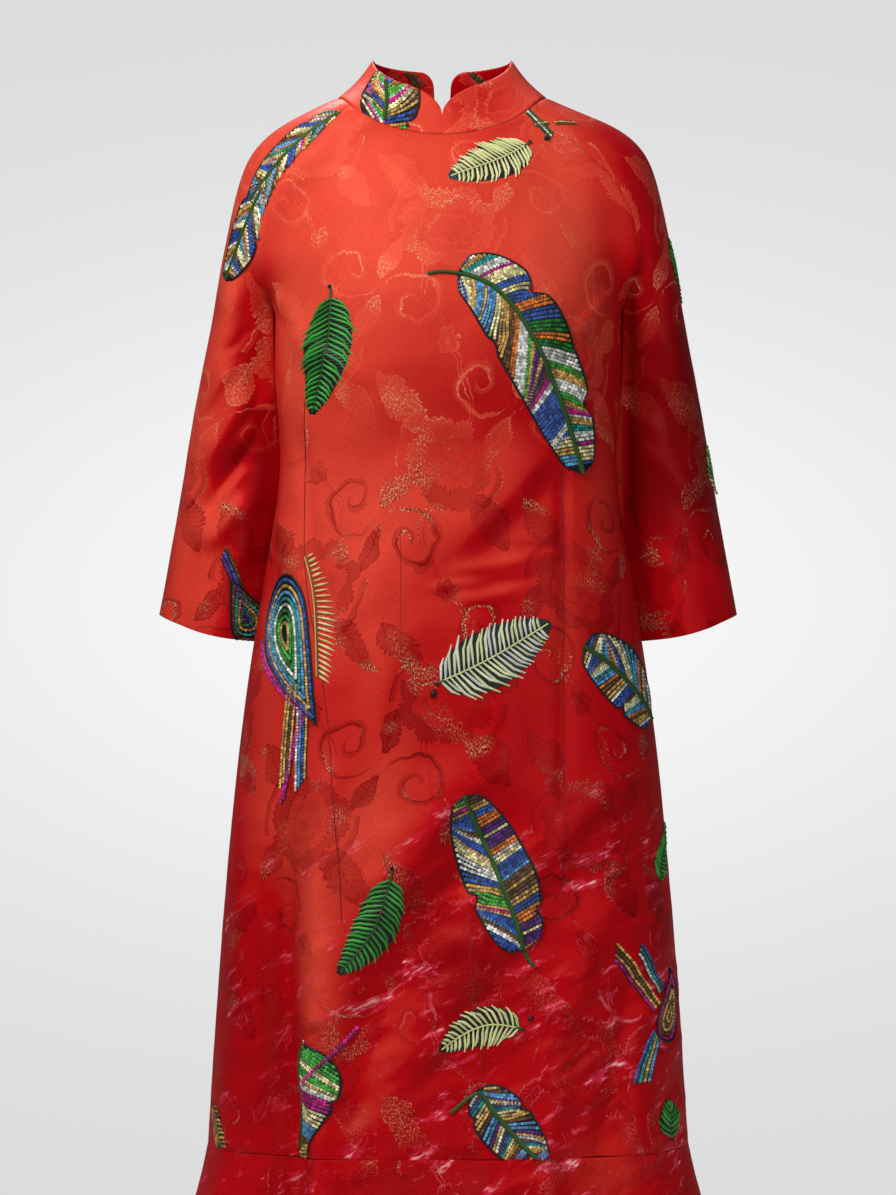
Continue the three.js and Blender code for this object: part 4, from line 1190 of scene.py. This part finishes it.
# Where a point of the worn dress, seen from in front or behind, lies on the flat cloth.
def spotOn(cloth, x, z, facing):
    p, out = cloth["points"], cloth["out"]
    away = np.hypot(p[..., 0] - x, p[..., 2] - z) + np.where(out[..., 1] * facing > -0.05, 0, 1000)
    i, j = np.unravel_index(np.argmin(away), away.shape)
    i, j = min(max(i, 1), p.shape[0] - 2), min(max(j, 1), p.shape[1] - 2)
    seen, flat = np.stack([-facing * p[..., 0], p[..., 2]], -1), flatOf(cloth)

    def steps(values):
        return np.stack([(values[i + 1, j] - values[i - 1, j]) / 2, (values[i, j + 1] - values[i, j - 1]) / 2], -1)

    gap = np.array([-facing * x, z]) - seen[i, j]
    change = steps(flat) @ np.linalg.inv(steps(seen))
    return flat[i, j] + np.clip(change @ gap, -12, 12)


sectionShape = ((-1, 0), (-0.6, 1), (0.6, 1), (1, 0))


def threadMesh(name, strands, cloth, inside=None):
    lay = layingOn(cloth)
    byLength = {}
    for one in strands:
        byLength.setdefault(len(one[0]), []).append(one)
    corners, faces, tints, start = [], [], [], 0
    for count, alike in sorted(byLength.items()):
        flat, half, thick, base, tint = (np.array([one[k] for one in alike]) for k in range(5))
        p, out, on = lay(flat.reshape(-1, 2))
        keep = on.reshape(-1, count).all(axis=1)
        if not keep.any():
            continue
        p, out = p.reshape(-1, count, 3)[keep], out.reshape(-1, count, 3)[keep]
        half, thick, base, tint = half[keep], thick[keep], base[keep], tint[keep]
        if inside:
            p, out = p - out * inside, -out
        aside = unit(np.cross(np.gradient(p, axis=1), out))
        rings = [p + aside * (a * half)[..., None] + out * (base[:, None] + b * thick)[..., None]
                 for a, b in sectionShape]
        rings = np.stack(rings, axis=2)
        index = start + np.arange(rings[..., 0].size).reshape(rings.shape[:3])
        a, b, c, d = index[:, :-1, :-1], index[:, :-1, 1:], index[:, 1:, 1:], index[:, 1:, :-1]
        faces.append(np.stack([a, b, c, d], -1).reshape(-1, 4))
        corners.append(rings.reshape(-1, 3))
        tints.append(np.repeat(tint, count * 4, axis=0))
        start += rings[..., 0].size
    tints = np.vstack(tints)
    dyed = [("thread", "FLOAT_COLOR", np.hstack([tints, np.ones((len(tints), 1))]))]
    return addPiece(name, np.vstack(corners), np.vstack(faces), threadMaterial, dyed)


threadMaterial, threadTree = newMaterial("embroideryThread")
ply = noise(node(threadTree, "TexCoord", output="Object"), 900, 1)
dyed = node(threadTree, "Attribute", output="Color", attribute_name="thread")
finishWith(threadMaterial, {
    "Base Color": node(threadTree, "HueSaturation", {"Color": dyed, "Value": ply.to(0.7, 0.72)}),
    "Roughness": ply.to(0.25, 0.3),
    "Normal": node(threadTree, "Bump", {"Height": ply, "Strength": 0.5, "Distance": 0.0005}),
    "Specular IOR Level": 0.4, "Sheen Weight": 0.03,
})


sewing = {  # sizes in millimetres, or as shares of a motif's length, breadth or row
    "ground": {"step": 2.8, "breadth": 1.3, "thick": 0.1, "parts": 7, "least": 2},
    "fern": {
        "outline": (0.66, 0.76), "ground": 0.9, "step": 5.2, "upTo": 0.93, "rise": (0.42, 3), "reach": (0.84, 1.12),
        "dye": (0.8, 1.15), "curl": (0.07, -0.05), "width": (2.7, 3.4), "shape": (0.5, 0.95, 1, 0.4),
        "rib": 1.6, "stem": 2.4, "knot": 4.2,
    },
    "plume": {
        "fullness": (0.36, 0.75), "early": (0.9, 0.6), "nick": 0.03, "row": 1.1, "from": -0.28, "upTo": 0.97,
        "sway": (0.45, 10.5), "within": (0.012, 0.985), "least": 3, "line": 1.3, "edge": 2, "ground": 0.97,
    },
    "paisley": {"foot": 1.3, "breadth": 0.62, "centre": 0.36, "edge": 2.2, "row": 1.12, "least": 0.12, "line": 0.9},
    "ribbons": {"points": 24, "row": 1.1, "edge": 0.62, "line": 1.1},
    "fringe": {"step": 5.6, "swell": (0.08, 0.8, 0.7), "dye": (0.9, 1.1), "width": (2.4, 3.4), "line": 1.7},
}


# Each motif grows up from its base at (0, 0), in millimetres.
def outlineOf(breadth, fullness, early):
    share = np.linspace(0, 1, 40)
    return share, breadth / 2 * np.sin(math.pi * share ** early) ** fullness


# Short dark strokes from edge to edge of a shape, for its stitches to lie on.
def ground(length, edge):
    sizes, made = sewing["ground"], []
    for y in np.arange(sizes["step"], length, sizes["step"]):
        left, right = edge(y, -1), edge(y, 1)
        if right - left > sizes["least"]:
            points = [(x, y) for x in np.linspace(left, right, int((right - left) / sizes["parts"]) + 3)]
            made.append(strand(points, sizes["step"] * sizes["breadth"], threadColours["black"], "under",
                               thick=sizes["thick"]))
    return made


# A fern leaf: long stitches over a dark ground, either side of a rib, with a stem below.
def fern(length, breadth, stem=14, tints=("pale", "cream"), rib="pale", seed=1):
    sizes, dye, made = sewing["fern"], np.random.default_rng(seed), []
    share, half = outlineOf(breadth, *sizes["outline"])

    def at(t, side):
        return np.array([side * np.interp(t, share, half), t * length])

    made += ground(length, lambda y, side: at(y / length, side * sizes["ground"])[0])
    a, b = (np.array(threadColours[tint]) for tint in tints)
    slope, least = sizes["rise"]
    for side in (-1, 1):
        for t in np.arange(0.0, sizes["upTo"], sizes["step"] / length):
            reach = np.interp(min(t + 0.1, 1), share, half)
            end = min(t + (slope * reach + least) / length, 0.99)
            out = side * dye.uniform(*sizes["reach"])
            colour = mix(a, b, dye.uniform()) * dye.uniform(*sizes["dye"])
            a0, b0 = at(t, side * 0.03), at(end, out)
            curl = mix(a0, b0, 0.6) + np.array(sizes["curl"]) * (side, 1) * np.hypot(*(b0 - a0))
            made.append(strand([a0, mix(a0, curl, 0.5), curl, b0], dye.uniform(*sizes["width"]), colour,
                               shape=sizes["shape"]))
    made += cord([at(t, 0) for t in np.linspace(0, 0.97, 12)], sizes["rib"], rib)
    if stem:
        made += cord(smoothLine([(stem * 0.12, -stem), (0, -stem * 0.5), (0, 3)], 4), sizes["stem"], "forest")
        made.append(stitch((stem * 0.16, -stem - 1), (stem * 0.05, -stem * 0.7), sizes["knot"], "black", "over"))
    return made


# A striped plume: slanting rows of chain stitch in bands, edged in black, either side of a green rib.
def plume(length, breadth, stem=(-12, -24), bands="", seed=1, rowWidth=3.4, slants=(0.45, 1.0), rib="moss",
          ribWidth=4.0, taper=0, nicks=(((0.4, 0.24),), ((0.2, 0.24),)), halves=(1, 1)):
    sizes, dye, made = sewing["plume"], np.random.default_rng(seed), []
    share, half = outlineOf(breadth, mix(*sizes["fullness"], taper), mix(*sizes["early"], taper))

    def at(t, side):
        nick = 1 - sum(deep * math.exp(-((t - low) / sizes["nick"]) ** 2) for low, deep in nicks[int(side > 0)])
        return np.array([side * np.interp(t, share, half) * nick * halves[int(side > 0)], t * length])

    pitch = rowWidth * sizes["row"] / length
    (sway, turns), (low, high), start = sizes["sway"], sizes["within"], sizes["from"]
    for side, which, slant in ((-1, 0, slants[0]), (1, -1, slants[1])):
        words = [word.split(":") for word in bands.split("|")[which].split()]
        rows = [(colour, i == 0) for colour, count in words for i in range(int(count))]
        shift = len(rows) // 2 + 1 if side > 0 and "|" not in bands else 0
        for k, t in enumerate(np.arange(start, sizes["upTo"], pitch)):
            colour, first = rows[(k + shift - round((-start - 0.2 * slant) / pitch)) % len(rows)]
            steep = slant * (1 + sway * math.sin(turns * t + seed + side))
            reach = np.interp(np.clip(t + 0.15, 0, 1), share, half) * steep / length
            slanting = [(t + q * reach, side * q * 0.95) for q in np.linspace(0, 1, 9)]
            line = np.array([at(a, b) for a, b in slanting if low < a < high])
            if len(line) < 2 or np.hypot(*(line[-1] - line[0])) < sizes["least"]:
                continue
            made += chain(line, rowWidth, colour, dye)
            if first:
                made += cord(line - (0, rowWidth * 0.6), sizes["line"])
    for side in (-1, 1):
        made += cord([at(t, side) for t in np.linspace(0, 1, 30)], sizes["edge"])
    made += ground(length, lambda y, side: at(y / length, side * sizes["ground"])[0])
    tail = smoothLine([stem, (stem[0] * 0.3, stem[1] * 0.5), at(0.03, 0)], 4)
    made += cord(tail, ribWidth * 0.9, "forest") + chain(tail, 2.2, rib, dye, "rib")
    line = [at(t, 0) for t in np.linspace(0.02, 1.0, 20)]
    return made + cord(line, ribWidth + 1.6, "forest") + chain(line, ribWidth, rib, dye, "rib")


# A paisley drop: rings of chain stitch one inside another, from its round foot to its pointed tip.
def paisley(length, breadth, rings, seed=1, rowWidth=3.2):
    sizes, dye, made = sewing["paisley"], np.random.default_rng(seed), []
    turn = np.linspace(0, 2 * math.pi, 60)
    wide = np.sin(turn) * np.sin(turn / 2) ** sizes["foot"]
    drop = np.stack([wide * breadth * sizes["breadth"], (1 + np.cos(turn)) / 2 * length], -1)
    centre, deep = np.array([0, length * sizes["centre"]]), breadth / 2
    right = drop[:30][::-1]
    made += ground(length, lambda y, side: side * np.interp(y, right[:, 1], right[:, 0]))
    made += cord(drop, sizes["edge"])
    for k, colour in enumerate(rings.split()):
        scale = 1 - (k + 0.75) * rowWidth * sizes["row"] / deep
        if scale < sizes["least"]:
            break
        made += chain(centre + (drop - centre) * scale, rowWidth, colour, dye)
        if k % 2:
            made += cord(centre + (drop - centre) * (scale - rowWidth * 0.5 / deep), sizes["line"])
    return made


# Ribbons of chain stitch that fan out, each edged in black.
def ribbons(length, colours, spread, seed=1, rowWidth=3.2, layer="fill"):
    sizes, dye, made = sewing["ribbons"], np.random.default_rng(seed), []
    count, names = sizes["points"], colours.split()
    for k, colour in enumerate(names):
        off = (k - (len(names) - 1) / 2) * (rowWidth * sizes["row"] + spread * np.linspace(0, 1, count))
        row = np.stack([-off, np.linspace(0, length, count)], -1)[:count - (k * 5) % 4]
        made += chain(row, rowWidth, colour, dye, layer)
        made += cord(row - (rowWidth * sizes["edge"], 0), sizes["line"])
    return made


# A comb of lone stitches on the side of a line that reach gives, slanting on more and more.
def fringe(length, reach, leans, colours, seed=1):
    sizes, dye, made = sewing["fringe"], np.random.default_rng(seed), []
    a, b = (np.array(threadColours[colour]) for colour in colours)
    start, span, fullness = sizes["swell"]
    for y in np.arange(1, length, sizes["step"]):
        swell = math.sin(math.pi * (start + span * y / length)) ** fullness * dye.uniform(*sizes["dye"])
        end = np.array([reach, mix(*leans, y / length)]) * swell
        tooth = [(0, y), end * 0.5 + (0, y), end + (0, y)]
        made.append(strand(tooth, dye.uniform(*sizes["width"]), mix(a, b, dye.uniform(0.2, 0.9)),
                           shape=(0.5, 1, 0.2)))
    for off, colour in ((0, "brown"), (2, colours[0])):
        made += cord([(off, 0), (off, length / 2), (off, length)], sizes["line"], colour)
    return made


# A black knot with a small white stitch on it, a painted highlight.
def dot(length, width=5.0):
    return [stitch((0, -1), (0, length), width, "black", "over"),
            stitch((0, 1), (0, length * 0.6), width * 0.4, "white", "rib")]


# A plain dark line, sunk: sewn along a dart, and painted shade along a pressed crease.
def seamLineAndCreaseShade(length, width=0.9, colour="maroon"):
    return cord([(0, 0), (0, length)], width, colour, "under")


stripes = {  # a plume's colours and how many rows of each, from its base up; its left side | its right side
    "blues": "blue:3 white:1 gold:2 brown:1 orange:1 sky:2 teal:1 white:1 cream:2 brown:1",
    "feast": "gold:2 magenta:1 white:1 gold:1 blue:3 cream:2 gold:1 brown:2 sky:2 orange:1 teal:2 forest:1 cream:1",
    "field": "teal:1 cream:1 gold:2 brown:1 sky:2 purple:1 gold:1 white:1 brown:1 blue:1",
    "main": "gold:2 magenta:2 white:1 gold:2 teal:2 white:3 magenta:1 cream:4 blue:2 cream:2 blue:3 orange:3"
            " blue:3 leaf:3 orange:2 leaf:2 white:4 lime:2 gold:3 white:4 lime:2 | blue:9 white:2 blue:2"
            " cream:3 gold:2 sky:3 gold:1 sky:3 cream:2 gold:3 brown:2 orange:2 white:5 lime:2 gold:2 purple:3"
            " gold:2 purple:2 brown:2 magenta:2 white:2",
    "middle": "cream:3 gold:1 blue:4 white:2 brown:2 sky:1 blue:5 gold:1 magenta:1 gold:1 lime:3 gold:2 blue:2"
              " white:3 | white:1 orange:2 purple:3 cream:1 purple:2 orange:3 blue:2 gold:2 brown:2 gold:1"
              " brown:2 sky:1 blue:4 cream:2",
    "fruit": "gold:2 cream:2 magenta:2 white:1 lime:3 gold:1 blue:2",
    "late": "gold:2 lime:5 cream:2 lime:3 cream:1 gold:1 white:2 magenta:4 cream:4 sky:5 brown:2 gold:3 |"
            " gold:3 cream:1 gold:2 brown:1",
}
greenLeaf = {"tints": ("leaf", "lime"), "rib": "forest"}
# Each cloth's motifs: kind, points from its base to its tip (x and height in turn, as seen), its own settings.
motifs = {
    "front_cloth": [
        (fern, [80, -49, 44, -68, 0, -85], dict(breadth=50, stem=8, seed=1)),
        (ribbons, [79, -12, 92, -25, 107, -41], dict(colours="forest white leaf", spread=0.2, seed=31, rowWidth=2.8)),
        (ribbons, [88, -29, 95, -27, 103, -26], dict(colours="brown gold", spread=0, seed=32, rowWidth=2.6)),
        (dot, [99, -42, 104, -42], dict(width=5)),
        (fern, [-119, -208, -126, -268, -139, -327], dict(greenLeaf, breadth=62, stem=15, seed=2)),
        (plume, [10, -184, 52, -203, 92, -260, 118, -322, 137, -385],
         dict(breadth=84, stem=(8, -30), bands=stripes["main"], seed=3,
              nicks=(((0.27, 0.4), (0.74, 0.3)), ((0.36, 0.12),)))),
        (ribbons, [-158, -600, -163, -652, -166, -706], dict(colours="gold gold brown gold", spread=0.2, seed=5)),
        (ribbons, [-148, -622, -149, -664, -150, -708], dict(colours="white sky blue gold", spread=0.3, seed=25)),
        (ribbons, [-145, -626, -158, -668, -169, -722],
         dict(colours="magenta magenta", spread=-0.8, seed=26, rowWidth=3)),
        (paisley, [-166, -489, -166, -550, -133, -642],
         dict(breadth=68, rings="blue gold sky teal white leaf lime gold blue gold", seed=4)),
        (ribbons, [-191, -556, -182, -590, -146, -630],
         dict(colours="magenta magenta", spread=0, seed=27, rowWidth=3.4)),
        (fringe, [-144, -470, -134, -520, -131, -592],
         dict(reach=-19, leans=(-2, 17), colours=("gold", "cream"), seed=6)),
        (fern, [-7, -597, 46, -572, 104, -537], dict(breadth=66, stem=5, tints=("pale", "white"), seed=7)),
        (dot, [-16, -612, -13, -605], dict(width=5)),
        (plume, [208, -636, 180, -595, 138, -562], dict(breadth=72, stem=(3, -6), bands=stripes["blues"], seed=8)),
        (plume, [76, -868, 54, -800, 16, -712],
         dict(breadth=70, stem=(6, -18), bands=stripes["middle"], seed=9, slants=(0.9, 0.2))),
        (fern, [-58, -797, -76, -848, -111, -891], dict(greenLeaf, breadth=46, stem=13, seed=10)),
        (fern, [71, -946, 34, -944, -9, -968], dict(breadth=42, stem=5, seed=11)),
        (dot, [82, -938, 86, -934], dict(width=4)),
        (paisley, [221, -966, 228, -930, 227, -893],
         dict(breadth=44, rings="magenta brown gold brown gold brown", seed=12)),
        (ribbons, [213, -930, 190, -898, 167, -868],
         dict(colours="gold brown gold magenta", spread=0.9, seed=13, rowWidth=3.4)),
        (ribbons, [218, -914, 206, -890, 194, -868],
         dict(colours="blue teal white", spread=0.9, seed=23, rowWidth=3.6)),
        (ribbons, [212, -958, 203, -982, 196, -1008],
         dict(colours="blue teal gold sky", spread=0.9, seed=19, rowWidth=3.8)),
        (ribbons, [-91, -944, -118, -972, -146, -1003],
         dict(colours="magenta", spread=0, seed=20, rowWidth=4, layer="rib")),
        (plume, [-145, -962, -147, -1015, -149, -1084],
         dict(breadth=52, stem=(2, -4), bands=stripes["late"], seed=14, rib="gold", ribWidth=2.0, taper=0.9,
              slants=(0.5, 0.3), halves=(1.8, 0.15), nicks=(((0.45, 0.15),), ()))),
        (plume, [30, -1008, 60, -1046, 98, -1088],
         dict(breadth=56, stem=(36, 2), bands=stripes["field"], seed=15, slants=(0.8, 0.4), taper=0.5)),
        (fern, [228, -1064, 225, -1026], dict(greenLeaf, breadth=46, stem=3, seed=16)),
        (fern, [-240, -1036, -224, -1088], dict(breadth=22, stem=2, tints=("brown", "gold"), rib="brown", seed=17)),
        (fern, [217, -800, 224, -743], dict(greenLeaf, breadth=28, stem=3, seed=18)),
        (seamLineAndCreaseShade, [-146, -312, -146, -478, -129, -587, -116, -721, -110, -780, -107, -838], dict(width=0.9)),
        (seamLineAndCreaseShade, [116, -371, 117, -520, 117, -660, 114, -808], dict(width=0.8)),
        # Painted shade along two pressed creases.
        (seamLineAndCreaseShade, [22, -792, 21, -861, 28, -937, 37, -1003], dict(width=0.6, colour="rust")),
        (seamLineAndCreaseShade, [-48, -444, -48, -560, -47, -626], dict(width=0.5, colour="rust")),
    ],
    "sleeve_right_cloth": [
        (plume, [-190, -92, -211, -138, -229, -184],
         dict(breadth=40, stem=(0, -4), bands=stripes["blues"], seed=24, ribWidth=2.2, slants=(1.2, 1.2))),
        (plume, [-113, -15, -163, -54, -203, -104],
         dict(breadth=44, stem=(0, -4), bands=stripes["feast"], seed=21, ribWidth=2.2, slants=(1.2, 1.2))),
        (paisley, [-208, -560, -212, -530, -226, -494], dict(breadth=38, rings="brown teal gold leaf", seed=22)),
        (ribbons, [-200, -548, -218, -500, -234, -462], dict(colours="brown blue purple", spread=0.0, seed=23)),
    ],
    "sleeve_left_cloth": [
        (ribbons, [106, -26, 118, -25, 132, -25], dict(colours="brown gold", spread=0, seed=32, rowWidth=2.6)),
        (fern, [243, -200, 236, -170, 228, -138], dict(greenLeaf, breadth=30, stem=3, seed=33)),
        (fern, [280, -400, 274, -376, 270, -352],
         dict(breadth=24, stem=3, tints=("leaf", "cream"), rib="brown", seed=34)),
    ],
    "collar_right_cloth": [
        (plume, [-66, -34, -63, 0, -62, 38],
         dict(breadth=66, stem=(0, -2), bands=stripes["fruit"], seed=41, rib="magenta", ribWidth=3,
              slants=(1.1, 0.5))),
    ],
}
backMotifs = {
    "back_left_cloth": [
        (fern, [96, -120, 100, -170, 84, -224], dict(greenLeaf, breadth=48, seed=51)),
        (plume, [150, -300, 128, -370, 84, -430, 66, -480], dict(breadth=72, bands=stripes["feast"], seed=52)),
        (fern, [40, -590, 76, -560, 140, -545], dict(breadth=56, seed=53)),
        (paisley, [150, -800, 156, -740, 140, -680], dict(breadth=62, rings="blue gold sky teal lime gold", seed=54)),
        (fern, [62, -760, 58, -810, 80, -868], dict(greenLeaf, breadth=46, seed=55)),
        (plume, [150, -1000, 178, -940, 190, -870], dict(breadth=62, bands=stripes["blues"], seed=56)),
        (fern, [40, -1010, 80, -1000, 124, -1018], dict(breadth=44, seed=57)),
    ],
    "back_right_cloth": [
        (plume, [-56, -100, -70, -160, -60, -240], dict(breadth=60, bands=stripes["blues"], seed=61)),
        (fern, [-150, -330, -120, -290, -80, -270], dict(breadth=50, seed=62)),
        (fern, [-60, -420, -64, -480, -90, -530], dict(greenLeaf, breadth=48, seed=63)),
        (paisley, [-150, -700, -130, -640, -128, -580],
         dict(breadth=60, rings="purple gold blue teal lime", seed=64)),
        (plume, [-60, -700, -50, -770, -80, -850], dict(breadth=66, bands=stripes["fruit"], seed=65)),
        (fern, [-170, -800, -180, -850, -170, -900], dict(greenLeaf, breadth=44, seed=66)),
        (plume, [-100, -960, -130, -1000, -190, -1040], dict(breadth=58, bands=stripes["field"], seed=67)),
    ],
    "sleeve_left_cloth": [
        (plume, [186, -110, 204, -180, 230, -250], dict(breadth=54, bands=stripes["blues"], seed=71)),
        (fern, [250, -480, 244, -430, 252, -380], dict(greenLeaf, breadth=44, seed=72)),
    ],
    "sleeve_right_cloth": [
        (fern, [-190, -150, -206, -190, -214, -250], dict(breadth=46, seed=73)),
        (plume, [-232, -330, -246, -390, -244, -460], dict(breadth=52, bands=stripes["field"], seed=74)),
    ],
}
marks = {  # dark stems on the inside of the collar behind the neck
    "collar_left_cloth": [(ribbons, [26, 40, 44, 26], dict(colours="brown forest", spread=0, seed=81))],
    "collar_right_cloth": [(ribbons, [-42, 42, -30, 26], dict(colours="brown forest", spread=0, seed=82))],
}


def motifStrands(cloth, table, facing):
    made = []
    for kind, points, sizes in table:
        line = smoothLine([spotOn(cloth, x, z, facing) for x, z in zip(points[::2], points[1::2])])
        length = runOf(line)[-1]
        made += alongCurve(kind(length=length, **sizes), line, length)
    return made


embroidered = {name: [] for name in cloths}


def addThreads(name, strands, ending, inside=None):
    piece = threadMesh(name.replace("cloth", ending), strands, cloths[name], inside)
    print(piece.name, len(strands), "strands")
    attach(piece, "root")
    embroidered[name].append(piece)


for facing, tables, ending in ((-1, motifs, "embroidery"), (1, backMotifs, "back_embroidery")):
    for name, table in tables.items():
        addThreads(name, motifStrands(cloths[name], table, facing), ending)
for name, table in marks.items():
    addThreads(name, motifStrands(cloths[name], table, 1), "inner_embroidery", weave["collarThickness"])


# The flat cut of each piece: the cloth it was before it was sewn and worn.
for name, piece in pieces.items():
    width, length, area = cloths[name]["cut"]
    round(width + 0.0005, 3)
    round(length + 0.0005, 3)
    print(f"{name}: cut {width:.3f} by {length:.3f} m, {area:.4f} m2")


studio = {
    "camera": {"distance": 4.5, "height": -0.5122, "seen": 1.2428},
    "lamps": [  # name, place, size, power, colour
        ("key", (-1.2, -1.65, 1.3), 0.8, 53, (1, 0.96, 0.92)),
        ("fill", (1.7, -3.1, 0.2), 1.6, 30, (1, 1, 1)),
        ("top", (-0.3, 1.3, 1.6), 1.0, 26, (1, 1, 1)),
    ],
    "aim": (0, 0, -0.35),
    "ambient": 0.09,
    "backdrop": {"edge": 0.70, "glow": 0.94, "breadth": 0.16, "height": 0.085},
    "floor": {"height": -1.276, "radius": 1000},
}

scene = bpy.context.scene
scene.view_settings.view_transform = "Standard"
seen = studio["camera"]
lens = bpy.data.cameras.new("camera")
lens.sensor_fit, lens.sensor_height, lens.lens = "VERTICAL", 36, 36 * seen["distance"] / seen["seen"]
camera = bpy.data.objects.new("camera", lens)
camera.location, camera.rotation_euler = (0, -seen["distance"], seen["height"]), (math.pi / 2, 0, 0)
scene.collection.objects.link(camera)
scene.camera = camera

# The room: an even soft light on the dress, and a pale backdrop, seen only by the camera and lighting nothing, with a
# painted glow behind its middle.
world = bpy.data.worlds.new("studio")
scene.world = world
world.use_nodes = True
tree = world.node_tree
way = node(tree, "SeparateXYZ", {"Vector": node(tree, "TexCoord", output="Generated")}).socket.node.outputs
backdrop = studio["backdrop"]
spread = (Wire(way["X"]) / backdrop["breadth"]).power(2.0) + (Wire(way["Z"]) / backdrop["height"]).power(2.0)
glow = (spread * -1).calc("EXPONENT").to(backdrop["glow"] - backdrop["edge"], backdrop["edge"])
shown = node(tree, "Background", {"Color": triple(glow, glow * 1.003, glow * 1.006)})
lit = tree.nodes["Background"]
lit.inputs["Color"].default_value, lit.inputs["Strength"].default_value = (1, 1, 1, 1), studio["ambient"]
seenByCamera = node(tree, "LightPath", output="Is Camera Ray")
room = node(tree, "MixShader", {0: seenByCamera, 1: Wire(lit.outputs[0]), 2: shown})
plug(room, tree.nodes["World Output"].inputs["Surface"])

for name, place, size, power, colour in studio["lamps"]:
    lamp = bpy.data.lights.new(name, "AREA")
    lamp.energy, lamp.size, lamp.color = power, size, colour
    light = bpy.data.objects.new(name, lamp)
    light.location = place
    light.rotation_euler = (Vector(studio["aim"]) - Vector(place)).to_track_quat("-Z", "Y").to_euler()
    scene.collection.objects.link(light)

floorPaper, paperTree = newMaterial("floorPaper")
speckle = noise(node(paperTree, "TexCoord", output="Object"), 60, 3)
finishWith(floorPaper, {"Base Color": mixColour((0.74, 0.745, 0.75, 1), (0.78, 0.785, 0.79, 1), speckle),
                        "Roughness": 0.8})
turns = np.linspace(0, 2 * math.pi, 96, endpoint=False)
rim = np.stack([np.cos(turns), np.sin(turns), 0 * turns], -1) * studio["floor"]["radius"]
floor = addPiece("floor", rim, np.arange(96)[None], floorPaper)
floor.location = (0, 0, studio["floor"]["height"])
print("room set with", len(studio["lamps"]), "lamps")
